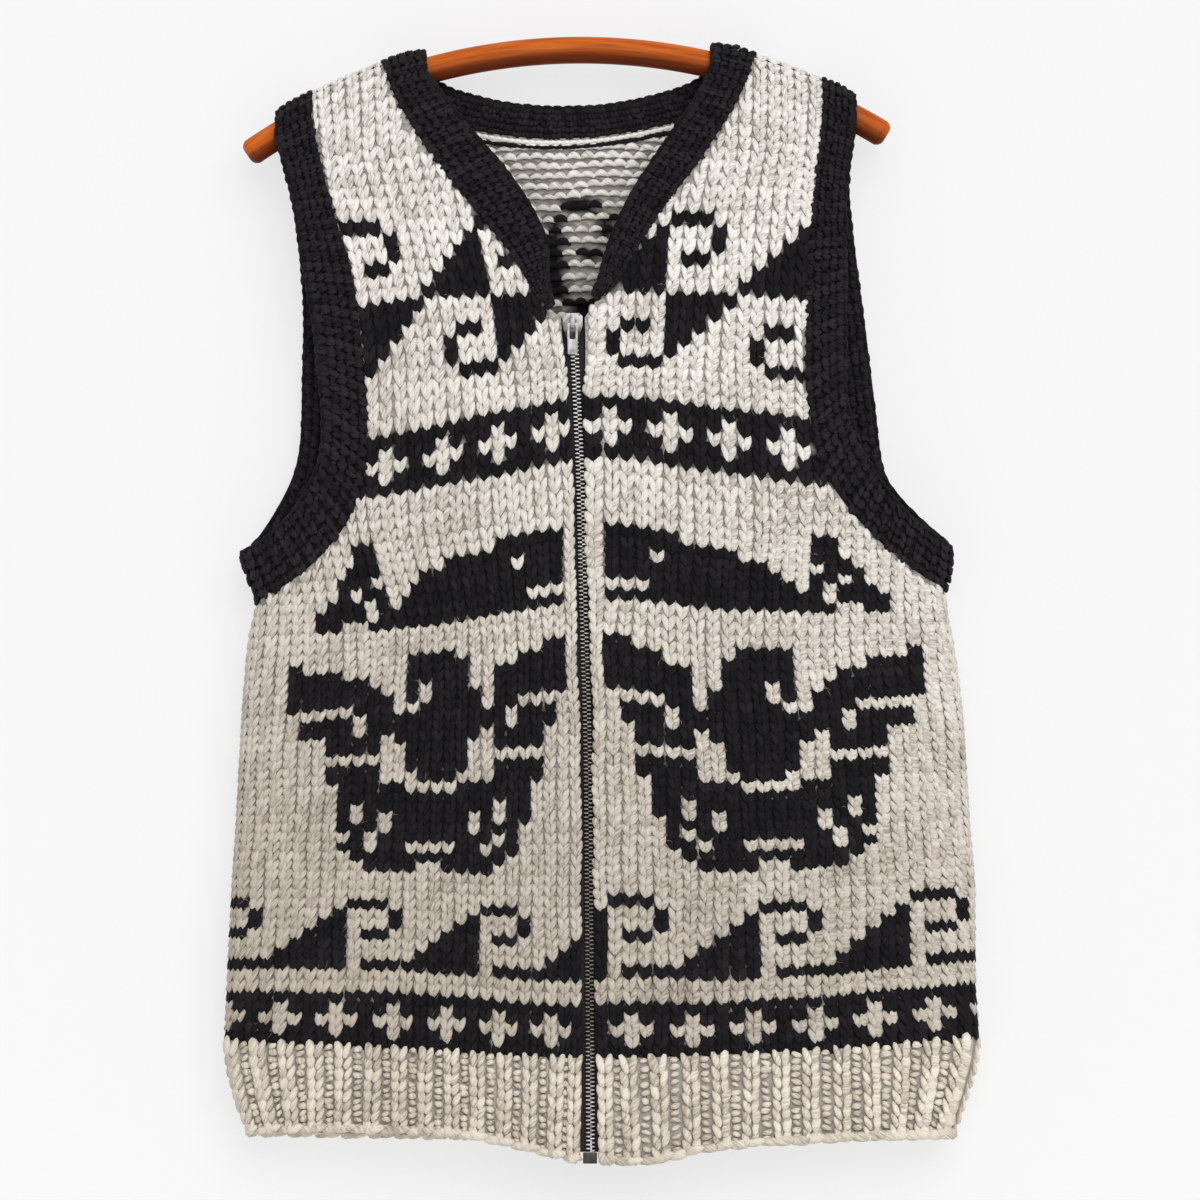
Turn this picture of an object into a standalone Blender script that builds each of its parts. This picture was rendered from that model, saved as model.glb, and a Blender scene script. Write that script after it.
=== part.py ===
"""Hand-knitted zipped vest hanging on an arched wooden dowel hanger.

Every table is in millimetres. X runs to the right as the front is seen, Y runs from the
front to the back and Z runs up. The origin is on top of the dowel, at its middle. The cloth
is described on a flat plane (s, h): s runs across the garment and h runs down it from the
shoulder seam, and cloth_point() lays that plane over the dowel and round the side folds.
"""
from math import asin, cos, pi, radians, sin, sqrt

import bmesh
import bpy
from mathutils import Matrix, Vector

MM = 0.001

# Cloth
CLOTH_WALL = 5.0
SEAM_GAP = 0.5
FOLD_RADIUS = 11.0
FOLD_RADIUS_REACH = 250.0
FRONT_BOW = 17.0
BACK_BOW = 10.0
BOW_REACH = 230.0
HEM_WAVE_HEIGHT = 2.6
HEM_WAVE_LENGTH = 150.0
HEM_WAVE_TOP = -380.0
HEM_WAVE_SPAN = 300.0
DIFFERENCE_STEP = 0.4
FOLD_SEARCH_STEPS = 6
CURVE_PARTS = 12
SHARP_EDGE = radians(40)

# Hanger
DOWEL_RADIUS = 9.0
DOWEL_CLEARANCE = 1.2
HANGER_ARC_RADIUS = 390.0
HANGER_HALF_ANGLE = radians(33.3)
HANGER_TILT = radians(1.7)
HANGER_STEPS = 40
DOWEL_SIDES = 12

# Shoulder wrap over the dowel
WRAP_RADIUS = DOWEL_RADIUS + DOWEL_CLEARANCE + CLOTH_WALL
WRAP_LENGTH = WRAP_RADIUS * pi / 2
WRAP_STEPS = 4

# Rows and columns of the cloth walls
BODY_STEPS = 7
FRONT_ARMHOLE_STEPS = 19
BACK_ARMHOLE_STEPS = 15
FRONT_NECK_STEPS = 10
BACK_NECK_STEPS = 10
FRONT_COLUMNS = 8
FOLD_COLUMNS = [0.022, 0.045]
ZIP_STEPS = BODY_STEPS + FRONT_ARMHOLE_STEPS - FRONT_NECK_STEPS - 1
SHOULDER_COLUMNS = 3

# Hem rib
RIBS_PER_FRONT = 13
RIBS_ON_BACK = 28
POINTS_PER_RIB = 4
RIB_ROWS = 4
RIB_HEIGHT = 2.4
RIB_SINK = 0.6

# Zip
ZIP_EDGE = 6.3
ZIP_EDGE_AT_SLIDER = 7.9
ZIP_EDGE_AT_HEM = 7.4
SLIDER_SPREAD_FOOT = -235.0
HEM_SPREAD_TOP = -700.0
SPREAD_LENGTH = 40.0
TAPE_INNER_EDGE = 0.6
TAPE_OUTER_EDGE = 16.0
TAPE_WALL = 1.0
TAPE_GAP = 0.4
CHAIN_WIDTH = 7.0
CHAIN_THICKNESS = 2.6
CHAIN_GAP = 0.3
ZIP_BOTTOM = -746.0
BOX_SIZE = (9.4, 4.4, 7.4)
SLIDER_TOP = -185.5
SLIDER_LENGTH = 17.0
SLIDER_WIDTH = 13.4
SLIDER_WAIST = 9.0
SLIDER_SHOULDER = 8.0
SLIDER_CORNER = 2.2
SLIDER_FOOT_CORNER = 1.0
BACK_PLATE_SHARE = 0.86
ZIP_CORNER_BELOW_SLIDER = 3.0
JOIN_OVERLAP = 0.3
PLATE_THICKNESS = 1.4
BACK_PLATE_THICKNESS = 1.2
POST_WIDTH = 3.0
POST_TOP = 0.8
POST_LENGTH = 4.2
TAPE_END_BELOW_SLIDER_TOP = 5.5
BRIDGE_WIDTH = 2.6
BRIDGE_TOP = 1.0
BRIDGE_LENGTH = 9.1
BRIDGE_FOOT = 1.3
BRIDGE_CLEAR = 2.5
BRIDGE_THICKNESS = 1.2
TAB_AXIS_BELOW_TOP = 7.5
TAB_THICKNESS = 1.3
TAB_BAR = 1.4
TAB_WIDTH = 7.4
TAB_TIP_WIDTH = 6.4
TAB_LENGTH = 21.0
TAB_SLOT_WIDTH = 3.8
TAB_SLOT_LENGTH = 9.4
TAB_CORNER = 0.7
TAB_SLOT_CORNER = 1.0
TAB_CORNER_POINTS = 4
BOX_SHIFT = 0.5


def table(columns, *rows):
    """Rows of a short table as dictionaries with the named columns."""
    names = columns.split()
    return [dict(zip(names, row)) for row in rows]


# Side folds of the garment, from the hem up
SIDES = table(
    "level z left right",
    ("hem corner", -733, -211, 261),
    ("rib low", -711, -219.5, 269.5),
    ("rib top", -672, -227.5, 278),
    ("low band", -632, -226, 276),
    ("wave band", -571, -223, 275.5),
    ("figure foot", -525, -220, 272),
    ("waist", -460, -216.5, 268),
    ("chest", -405, -212, 261),
    ("underarm", -378, -207, 256.5),
    ("band tip", -345, -218, 261),
    ("above tip", -320, -219, 262),
    ("shoulder", 20, -219, 262),
)

# Middle of the zip
ZIP_LINE = table(
    "level z x",
    ("hem", -755, 17.5),
    ("waist", -491, 16),
    ("chest", -377, 13),
    ("top band", -297, 11),
    ("below slider", -230, 8),
    ("slider", -190, 6),
    ("above slider", -150, 4),
)

# Where the rib meets the body, and the cast-on edge of the rib
RIB_TOP = table(
    "level x z",
    ("left fold", -246, -671),
    ("left middle", -110, -677),
    ("centre", 17, -683),
    ("right middle", 150, -679),
    ("right fold", 296, -668),
)
HEM = table(
    "level x z",
    ("left fold", -246, -733),
    ("left quarter", -144, -731),
    ("left middle", -76, -733),
    ("left of zip", -20, -744),
    ("zip", 17, -752),
    ("right of zip", 52, -752),
    ("right middle", 91, -744),
    ("right quarter", 158, -738),
    ("right fold", 296, -733),
)
BACK_RIB_TOP = table(
    "level x z",
    ("left fold", -246, -671),
    ("centre", 24, -676),
    ("right fold", 296, -668),
)
BACK_HEM = table(
    "level x z",
    ("left fold", -246, -733),
    ("centre", 24, -738),
    ("right fold", 296, -733),
)

# Seam and free edge of each armhole band, from the underarm up
UNDERARM = {"left": {"seam_z": -380, "edge_z": -345}, "right": {"seam_z": -372, "edge_z": -343}}
ARMHOLE_COLUMNS = "level seam_x seam_z edge_x edge_z"
FRONT_ARMHOLE = {
    "left": table(
        ARMHOLE_COLUMNS,
        ("hollow", -191, -370, -209, -340),
        ("scoop", -162, -347, -191, -326),
        ("turn", -139, -313, -173, -302),
        ("deepest", -132, -270, -163, -269),
        ("middle", -135, -211, -167, -211),
        ("chest", -143, -158, -175, -158),
        ("yoke", -156, -111, -181.5, -115),
        ("near dowel", -165, -74, -189, -84),
    ),
    "right": table(
        ARMHOLE_COLUMNS,
        ("hollow", 240, -361, 248, -332),
        ("scoop", 206, -333, 223, -310),
        ("turn", 177, -296, 203, -280),
        ("deepest", 164, -251, 191, -245),
        ("middle", 162, -200, 189.5, -200),
        ("chest", 163.5, -148, 189.5, -148),
        ("yoke", 167, -104, 189.5, -106),
        ("near dowel", 171, -72, 193, -78),
    ),
}
BACK_ARMHOLE = {
    "left": table(
        ARMHOLE_COLUMNS,
        ("hollow", -190, -367, -208, -338),
        ("scoop", -163.5, -333, -187.5, -306),
        ("turn", -149.5, -287, -178, -277),
        ("deepest", -147, -230, -176, -229),
        ("middle", -148, -173, -175.5, -173),
        ("yoke", -157, -110, -182, -114),
        ("near dowel", -165, -74, -189, -84),
    ),
    "right": table(
        ARMHOLE_COLUMNS,
        ("hollow", 242, -357, 246, -328),
        ("scoop", 212, -330, 226, -308),
        ("turn", 189, -297, 214.5, -289),
        ("deepest", 181.5, -250, 209, -248),
        ("middle", 176, -200, 203, -200),
        ("yoke", 168.5, -110, 192, -112),
        ("near dowel", 171, -72, 193, -78),
    ),
}

# Seam and free edge of the neckband: up each front from the zip, and across the back
NECK_COLUMNS = "level seam_x seam_z edge_x edge_z"
FRONT_NECK = {
    "left": table(
        NECK_COLUMNS,
        ("zip end", -11, -181.5, -8, -178.5),
        ("foot", -22, -169.5, -10.5, -157.5),
        ("turn", -31.5, -151, -10.5, -137),
        ("lower", -56, -120.5, -28, -102.5),
        ("upper", -88, -80.5, -60, -63),
        ("near dowel", -110, -46, -84, -33),
    ),
    "right": table(
        NECK_COLUMNS,
        ("zip end", 22.5, -176, 20.5, -171),
        ("foot", 33.5, -168, 24, -160),
        ("turn", 46, -147, 28.5, -141),
        ("lower", 66.5, -114.5, 43, -107),
        ("upper", 90, -84, 65, -73),
        ("near dowel", 113, -48, 89, -38),
    ),
}
BACK_NECK = table(
    NECK_COLUMNS,
    ("left rise", -105, -42, -84, -30),
    ("left", -78, -57, -66, -37),
    ("left middle", -43, -65, -37, -43.5),
    ("middle", -7, -67.5, -5, -46),
    ("right middle", 32, -65, 29, -44.5),
    ("right", 76, -56, 65, -37.5),
    ("right rise", 107, -42, 88, -29),
)

# Distance from the dowel's end, and the share of its radius there
DOWEL_ROUNDING = 8.0
DOWEL_END = table(
    "at share",
    (0.0, 0.42),
    (1.6, 0.74),
    (4.4, 0.95),
)

# Edges of the shoulder where it lies over the dowel: at the dowel's height and on top of it
SHOULDER = {
    "left": {"arm_seam": -169, "arm_edge": -194, "neck_seam": -117, "neck_edge": -92},
    "right": {"arm_seam": 173.5, "arm_edge": 196, "neck_seam": 124, "neck_edge": 98},
}
SHOULDER_TOP = {
    "left": {"arm_seam": -169, "arm_edge": -194, "neck_seam": -123, "neck_edge": -93},
    "right": {"arm_seam": 173.5, "arm_edge": 196, "neck_seam": 129, "neck_edge": 98.5},
}

# Position across a band from its seam to its free edge, and how much of the wall is left there
BAND_SECTION = table(
    "across wall",
    (0.0, 1.0),
    (0.33, 1.0),
    (0.66, 1.0),
    (0.9, 0.82),
    (1.0, 0.36),
)

COLOURS = {
    "wool_light": ((0.64, 0.58, 0.50, 1), 0.9, 0.0),
    "wool_black": ((0.020, 0.019, 0.021, 1), 0.95, 0.0),
    "tape": ((0.012, 0.012, 0.014, 1), 0.8, 0.0),
    "nickel": ((0.62, 0.62, 0.62, 1), 0.3, 1.0),
    "gunmetal": ((0.10, 0.10, 0.11, 1), 0.4, 1.0),
    "varnished_wood": ((0.50, 0.20, 0.05, 1), 0.35, 0.0),
}


class Curve:
    """Smooth curve through the rows of a table that never swings past them."""

    def __init__(self, rows, across, value):
        self.at = [row[across] for row in rows]
        self.values = [row[value] for row in rows]
        spans = list(zip(self.at, self.at[1:], self.values, self.values[1:]))
        rises = [(v1 - v0) / (a1 - a0) for a0, a1, v0, v1 in spans]
        inner = [2 * p * q / (p + q) if p * q > 0 else 0 for p, q in zip(rises, rises[1:])]
        self.slopes = [rises[0]] + inner + [rises[-1]]

    def __call__(self, where):
        if where <= self.at[0]:
            return self.values[0]
        if where >= self.at[-1]:
            return self.values[-1]
        i = max(k for k in range(len(self.at) - 1) if self.at[k] <= where)
        span = self.at[i + 1] - self.at[i]
        t = (where - self.at[i]) / span
        start = self.values[i] * (1 + 2 * t) * (1 - t) ** 2 + span * self.slopes[i] * t * (1 - t) ** 2
        end = self.values[i + 1] * t * t * (3 - 2 * t) + span * self.slopes[i + 1] * t * t * (t - 1)
        return start + end


side_fold = {"left": Curve(SIDES, "z", "left"), "right": Curve(SIDES, "z", "right")}
zip_x = Curve(ZIP_LINE, "z", "x")
rib_top_z = Curve(RIB_TOP, "x", "z")
hem_z = Curve(HEM, "x", "z")
back_rib_top_z = Curve(BACK_RIB_TOP, "x", "z")
back_hem_z = Curve(BACK_HEM, "x", "z")


def smooth(t):
    t = min(max(t, 0.0), 1.0)
    return t * t * (3 - 2 * t)


def mix(a, b, t):
    return a + (b - a) * t


def dowel_z(x):
    """Height of the dowel's middle line at x."""
    arc_x = HANGER_ARC_RADIUS * sin(HANGER_TILT)
    crown = HANGER_ARC_RADIUS * cos(HANGER_TILT)
    return sqrt(HANGER_ARC_RADIUS ** 2 - (x - arc_x) ** 2) - crown - DOWEL_RADIUS


def dowel_slope_stretch(x):
    """How much further above its middle line the sloping dowel's round face reaches at x."""
    across = (x - HANGER_ARC_RADIUS * sin(HANGER_TILT)) / HANGER_ARC_RADIUS
    return 1 / sqrt(1 - across * across)


def fold_radius(drop):
    return mix(WRAP_RADIUS, FOLD_RADIUS, smooth(drop / FOLD_RADIUS_REACH))


def bulge(x, z, drop, facing):
    """How far the wall stands out of the flat fold, which fades towards the side folds."""
    left = side_fold["left"](z)
    right = side_fold["right"](z)
    across = (x - (left + right) / 2) / ((right - left) / 2)
    spread = max(0.0, 1 - across * across)
    bow = (FRONT_BOW if facing < 0 else BACK_BOW) * smooth(drop / BOW_REACH)
    wave = sin(2 * pi * x / HEM_WAVE_LENGTH + facing) * HEM_WAVE_HEIGHT
    wave *= smooth((HEM_WAVE_TOP - z) / HEM_WAVE_SPAN)
    return (bow + wave * spread) * spread


def cloth_point(s, h, facing):
    """Outer face of the cloth. Facing is -1 on the front and 1 on the back."""
    middle = dowel_z(s)
    if h < WRAP_LENGTH:
        angle = h / WRAP_RADIUS
        rise = WRAP_RADIUS * cos(angle) * dowel_slope_stretch(s)
        return Vector((s, facing * WRAP_RADIUS * sin(angle), middle + rise))
    drop = h - WRAP_LENGTH
    z = middle - drop
    radius = fold_radius(drop)
    left_turn = side_fold["left"](z) + radius
    right_turn = side_fold["right"](z) - radius
    x, depth = s, radius
    if s < left_turn:
        x = left_turn - radius * sin((left_turn - s) / radius)
        depth = radius * cos((left_turn - s) / radius)
    if s > right_turn:
        x = right_turn + radius * sin((s - right_turn) / radius)
        depth = radius * cos((s - right_turn) / radius)
    return Vector((x, facing * (depth + bulge(x, z, drop, facing)), z))


def cloth_normal(s, h, facing):
    """Direction out of the cloth; over the dowel it has no part along X."""
    if h < WRAP_LENGTH:
        angle = h / WRAP_RADIUS
        return Vector((0, facing * sin(angle), cos(angle)))
    step = DIFFERENCE_STEP
    across = cloth_point(s + step, h, facing) - cloth_point(s - step, h, facing)
    down = cloth_point(s, h + step, facing) - cloth_point(s, h, facing)
    return across.cross(down).normalized() * facing


def flat(x, z):
    """Place on the flat plane of a point that the front view shows at x and z."""
    for side, sign in (("left", -1), ("right", 1)):
        radius = fold_radius(dowel_z(x) - z)
        turn = side_fold[side](z) - sign * radius
        if sign * (x - turn) > 0:
            x = turn + sign * radius * asin(min(1.0, sign * (x - turn) / radius))
    return Vector((x, WRAP_LENGTH + dowel_z(x) - z))


def fold_flat(side, z):
    """Place on the flat plane of the side fold at height z."""
    sign = -1 if side == "left" else 1
    edge = side_fold[side](z)
    for _ in range(FOLD_SEARCH_STEPS):
        radius = fold_radius(dowel_z(edge) - z)
        edge = side_fold[side](z) + sign * radius * (pi / 2 - 1)
    return Vector((edge, WRAP_LENGTH + dowel_z(edge) - z))


def resample(points, steps):
    """Points at even distances along a smooth curve through the given points."""
    fine = []
    ends = [points[0] * 2 - points[1]] + points + [points[-1] * 2 - points[-2]]
    for a, b, c, d in zip(ends, ends[1:], ends[2:], ends[3:]):
        for k in range(CURVE_PARTS):
            t = k / CURVE_PARTS
            bend = (a * 2 - b * 5 + c * 4 - d) * t * t + (b * 3 - a - c * 3 + d) * t ** 3
            fine.append((b * 2 + (c - a) * t + bend) / 2)
    fine.append(points[-1])
    reach = [0.0]
    for a, b in zip(fine, fine[1:]):
        reach.append(reach[-1] + (b - a).length)
    result = []
    k = 0
    for step in range(steps + 1):
        goal = reach[-1] * step / steps
        while k < len(fine) - 2 and reach[k + 1] < goal:
            k += 1
        result.append(fine[k].lerp(fine[k + 1], (goal - reach[k]) / (reach[k + 1] - reach[k])))
    return result


def shoulder_rows(side, edge):
    """Places from just above the dowel's middle to the shoulder seam on top of it."""
    rows = []
    for k in range(1, WRAP_STEPS + 1):
        x = mix(SHOULDER[side][edge], SHOULDER_TOP[side][edge], k / WRAP_STEPS)
        rows.append(Vector((x, WRAP_LENGTH * (1 - k / WRAP_STEPS))))
    return rows


def dowel_row(side, edge):
    return Vector((SHOULDER[side][edge], WRAP_LENGTH))


def armhole_line(rows, side, edge, steps):
    """Seam or free edge of an armhole from the underarm to the dowel."""
    points = [fold_flat(side, UNDERARM[side][edge + "_z"])]
    points += [flat(row[edge + "_x"], row[edge + "_z"]) for row in rows]
    points.append(dowel_row(side, "arm_" + edge))
    return resample(points, steps)


def neck_line(side, edge):
    """Seam or free edge of the neck on one front, from the zip to the dowel."""
    points = [flat(row[edge + "_x"], row[edge + "_z"]) for row in FRONT_NECK[side]]
    points.append(dowel_row(side, "neck_" + edge))
    return resample(points, FRONT_NECK_STEPS)


def back_neck_line(edge):
    """Seam or free edge of the neck on the back, from the left dowel point to the right one."""
    points = [dowel_row("left", "neck_" + edge)]
    points += [flat(row[edge + "_x"], row[edge + "_z"]) for row in BACK_NECK]
    points.append(dowel_row("right", "neck_" + edge))
    return resample(points, BACK_NECK_STEPS)


def body_side(side, low, high, steps):
    return [fold_flat(side, mix(low, high, k / steps)) for k in range(steps + 1)]


def zip_half_gap(z):
    """Distance from the zip's middle to the edge of the cloth."""
    gap = mix(ZIP_EDGE, ZIP_EDGE_AT_SLIDER, smooth((z - SLIDER_SPREAD_FOOT) / SPREAD_LENGTH))
    return mix(gap, ZIP_EDGE_AT_HEM, smooth((HEM_SPREAD_TOP - z) / SPREAD_LENGTH))


def zip_side(side, low, high, steps):
    """Edge of one front along the zip."""
    sign = -1 if side == "left" else 1
    levels = [mix(low, high, k / steps) for k in range(steps + 1)]
    return [flat(zip_x(z) + sign * zip_half_gap(z), z) for z in levels]


def patch(left, right, columns, bottom, top):
    """Grid on the flat plane between two sides with a curved bottom and top."""
    grid = []
    for j, (a, b) in enumerate(zip(left, right)):
        v = j / (len(left) - 1)
        row = []
        for u, low, high in zip(columns, bottom, top):
            low_bend = low - bottom[0].lerp(bottom[-1], u)
            high_bend = high - top[0].lerp(top[-1], u)
            row.append(a.lerp(b, u) + low_bend * (1 - v) + high_bend * v)
        grid.append(row)
    return grid


def pull_in_edges(grid, distance):
    """The same grid with its border moved inwards, which leaves half of each seam's gap."""
    rows, columns = len(grid), len(grid[0])
    moved = [list(row) for row in grid]

    def inward(j, i, dj, di):
        before = grid[max(j - dj, 0)][max(i - di, 0)]
        after = grid[min(j + dj, rows - 1)][min(i + di, columns - 1)]
        along = after - before
        across = Vector((-along.y, along.x)).normalized()
        inside = grid[min(max(j + di * (1 if j == 0 else -1), 0), rows - 1)]
        inside = inside[min(max(i + dj * (1 if i == 0 else -1), 0), columns - 1)]
        if across.dot(inside - grid[j][i]) < 0:
            across.negate()
        return across * distance

    for j in range(rows):
        moved[j][0] += inward(j, 0, 1, 0)
        moved[j][-1] += inward(j, columns - 1, 1, 0)
    for i in range(columns):
        moved[0][i] += inward(0, i, 0, 1)
        moved[-1][i] += inward(rows - 1, i, 0, 1)
    return moved


def make_material(name):
    colour, roughness, metallic = COLOURS[name]
    material = bpy.data.materials.get(name) or bpy.data.materials.new(name)
    material.use_nodes = True
    shader = material.node_tree.nodes["Principled BSDF"]
    shader.inputs["Base Color"].default_value = colour
    shader.inputs["Roughness"].default_value = roughness
    shader.inputs["Metallic"].default_value = metallic
    material.diffuse_color = colour
    return material


def add_object(name, bm, material):
    """New object from a mesh in millimetres, with its faces turned outwards."""
    bmesh.ops.recalc_face_normals(bm, faces=bm.faces)
    bmesh.ops.scale(bm, vec=(MM, MM, MM), verts=bm.verts)
    mesh = bpy.data.meshes.new(name)
    bm.to_mesh(mesh)
    bm.free()
    mesh.materials.append(make_material(material))
    obj = bpy.data.objects.new(name, mesh)
    bpy.context.scene.collection.objects.link(obj)
    mesh.shade_smooth()
    mesh.set_sharp_from_angle(angle=SHARP_EDGE)
    return obj


def closed_wall(name, outer, inner, material, ring=False):
    """Closed wall between two grids of points, whose rows join up when it is a ring.

    The wall's two sides are split from the lower outer corner to the higher inner one, so
    that two walls that meet at a twisting seam keep an even gap.
    """
    bm = bmesh.new()
    front = [[bm.verts.new(p) for p in row] for row in outer]
    back = [[bm.verts.new(p) for p in row] for row in inner]
    rows, columns = len(outer), len(outer[0])
    row_pairs = [(j, (j + 1) % rows) for j in range(rows if ring else rows - 1)]
    for j, k in row_pairs:
        for i in range(columns - 1):
            bm.faces.new((front[j][i], front[j][i + 1], front[k][i + 1], front[k][i]))
            bm.faces.new((back[j][i], back[k][i], back[k][i + 1], back[j][i + 1]))
        low, high = (j, k) if front[j][0].co.z < front[k][0].co.z else (k, j)
        for i in (0, -1):
            bm.faces.new((front[low][i], front[high][i], back[high][i]))
            bm.faces.new((front[low][i], back[high][i], back[low][i]))
    if not ring:
        for i in range(columns - 1):
            bm.faces.new((front[0][i], back[0][i], back[0][i + 1], front[0][i + 1]))
            bm.faces.new((front[-1][i], front[-1][i + 1], back[-1][i + 1], back[-1][i]))
    return add_object(name, bm, material)


def cloth_wall(name, grid, facing, material, lift=None):
    """Cloth of full thickness on a grid of the flat plane, raised on its outside by lift."""
    outer, inner = [], []
    for row in pull_in_edges(grid, SEAM_GAP / 2):
        points = [cloth_point(p.x, p.y, facing) for p in row]
        normals = [cloth_normal(p.x, p.y, facing) for p in row]
        raised = lift or [0.0] * len(row)
        outer.append([p + n * up for p, n, up in zip(points, normals, raised)])
        inner.append([p - n * CLOTH_WALL for p, n in zip(points, normals)])
    return closed_wall(name, outer, inner, material)


def front_panel(side):
    """One front: side and armhole on its outer edge, zip and neck on its inner edge."""
    outer_x = side_fold[side](RIB_TOP[0]["z"])
    outer_edge = body_side(side, rib_top_z(outer_x), UNDERARM[side]["seam_z"], BODY_STEPS)
    outer_edge += armhole_line(FRONT_ARMHOLE[side], side, "seam", FRONT_ARMHOLE_STEPS)[1:]
    zip_low = rib_top_z(RIB_TOP[2]["x"])
    inner_edge = zip_side(side, zip_low, SLIDER_TOP - ZIP_CORNER_BELOW_SLIDER, ZIP_STEPS)
    inner_edge += neck_line(side, "seam")
    outer_edge += shoulder_rows(side, "arm_seam")
    inner_edge += shoulder_rows(side, "neck_seam")
    even = [k / FRONT_COLUMNS for k in range(1, FRONT_COLUMNS + 1)]
    columns = [0.0] + FOLD_COLUMNS + even
    bottom = []
    for u in columns:
        s = mix(outer_edge[0].x, inner_edge[0].x, u)
        bottom.append(Vector((s, WRAP_LENGTH + dowel_z(s) - rib_top_z(s))))
    outer_edge[0], inner_edge[0] = bottom[0], bottom[-1]
    top = [outer_edge[-1].lerp(inner_edge[-1], u) for u in columns]
    grid = patch(outer_edge, inner_edge, columns, bottom, top)
    return cloth_wall("front_" + side, grid, -1, "wool_light")


def back_panel():
    """The back in one piece, with its neck curve between the two shoulders."""
    edges = {}
    for side in ("left", "right"):
        low = back_rib_top_z(side_fold[side](RIB_TOP[0]["z"]))
        edge = body_side(side, low, UNDERARM[side]["seam_z"], BODY_STEPS)
        edge += armhole_line(BACK_ARMHOLE[side], side, "seam", BACK_ARMHOLE_STEPS)[1:]
        edges[side] = edge + shoulder_rows(side, "arm_seam")
    left_neck = shoulder_rows("left", "neck_seam")[::-1]
    right_neck = shoulder_rows("right", "neck_seam")
    outer_left, outer_right = edges["left"][-1], edges["right"][-1]
    even = [k / SHOULDER_COLUMNS for k in range(SHOULDER_COLUMNS)]
    top = [outer_left.lerp(left_neck[0], t) for t in even]
    top += left_neck + back_neck_line("seam") + right_neck
    top += [right_neck[-1].lerp(outer_right, t + 1 / SHOULDER_COLUMNS) for t in even]
    reach = [0.0]
    for a, b in zip(top, top[1:]):
        reach.append(reach[-1] + (b - a).length)
    columns = [r / reach[-1] for r in reach]
    bottom = []
    for u in columns:
        s = mix(edges["left"][0].x, edges["right"][0].x, u)
        bottom.append(Vector((s, WRAP_LENGTH + dowel_z(s) - back_rib_top_z(s))))
    edges["left"][0], edges["right"][0] = bottom[0], bottom[-1]
    grid = patch(edges["left"], edges["right"], columns, bottom, top)
    return cloth_wall("back", grid, 1, "wool_light")


def rib_patch(name, start, end, ribs, facing, top_curve, hem_curve):
    """Ribbed strip between two sides, each a list of places from the rib's top to the hem."""
    count = ribs * POINTS_PER_RIB
    columns = [k / count for k in range(count + 1)]
    top, bottom = [], []
    for u in columns:
        s = mix(start[0].x, end[0].x, u)
        top.append(Vector((s, WRAP_LENGTH + dowel_z(s) - top_curve(s))))
        s = mix(start[-1].x, end[-1].x, u)
        bottom.append(Vector((s, WRAP_LENGTH + dowel_z(s) - hem_curve(s))))
    start[0], end[0], start[-1], end[-1] = top[0], top[-1], bottom[0], bottom[-1]
    grid = patch(start, end, columns, top, bottom)
    middle = (RIB_HEIGHT - RIB_SINK) / 2
    lift = [middle - (RIB_HEIGHT + RIB_SINK) / 2 * cos(2 * pi * ribs * u) for u in columns]
    return cloth_wall(name, grid, facing, "wool_light", lift)


def hem_ribs():
    low, high = SIDES[0]["z"], RIB_TOP[0]["z"]
    zip_high = rib_top_z(ZIP_LINE[0]["x"])
    zip_low = hem_z(ZIP_LINE[0]["x"])
    for side in ("left", "right"):
        fold = body_side(side, high, low, RIB_ROWS)
        centre = zip_side(side, zip_high, zip_low, RIB_ROWS)
        rib_patch("hem_rib_front_" + side, fold, centre, RIBS_PER_FRONT, -1, rib_top_z, hem_z)
    left = body_side("left", high, low, RIB_ROWS)
    right = body_side("right", high, low, RIB_ROWS)
    rib_patch("hem_rib_back", left, right, RIBS_ON_BACK, 1, back_rib_top_z, back_hem_z)


def band(name, path, ring):
    """Knitted band along a path of stations: a seam place, a free-edge place and a facing."""
    outer, inner = [], []
    for seam, edge, facing in path:
        away = (edge - seam).normalized() * SEAM_GAP / 2
        start = seam + away
        row_out, row_in = [], []
        for part in BAND_SECTION:
            place = start.lerp(edge, part["across"])
            point = cloth_point(place.x, place.y, facing)
            normal = cloth_normal(place.x, place.y, facing)
            trim = CLOTH_WALL * (1 - part["wall"]) / 2
            row_out.append(point - normal * trim)
            row_in.append(point - normal * (CLOTH_WALL - trim))
        outer.append(row_out)
        inner.append(row_in)
    return closed_wall(name, outer, inner, "wool_black", ring)


def stations(seam, edge, facing):
    return [(a, b, facing) for a, b in zip(seam, edge)]


def armhole_band(side):
    """Band round one armhole: up the front, over the dowel and down the back."""
    front = stations(
        armhole_line(FRONT_ARMHOLE[side], side, "seam", FRONT_ARMHOLE_STEPS),
        armhole_line(FRONT_ARMHOLE[side], side, "edge", FRONT_ARMHOLE_STEPS), -1)
    back = stations(
        armhole_line(BACK_ARMHOLE[side], side, "seam", BACK_ARMHOLE_STEPS),
        armhole_line(BACK_ARMHOLE[side], side, "edge", BACK_ARMHOLE_STEPS), 1)
    seam, edge = shoulder_rows(side, "arm_seam"), shoulder_rows(side, "arm_edge")
    over = stations(seam, edge, -1) + stations(seam[-2::-1], edge[-2::-1], 1)
    return band("armhole_band_" + side, front + over + back[:0:-1], ring=True)


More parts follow.
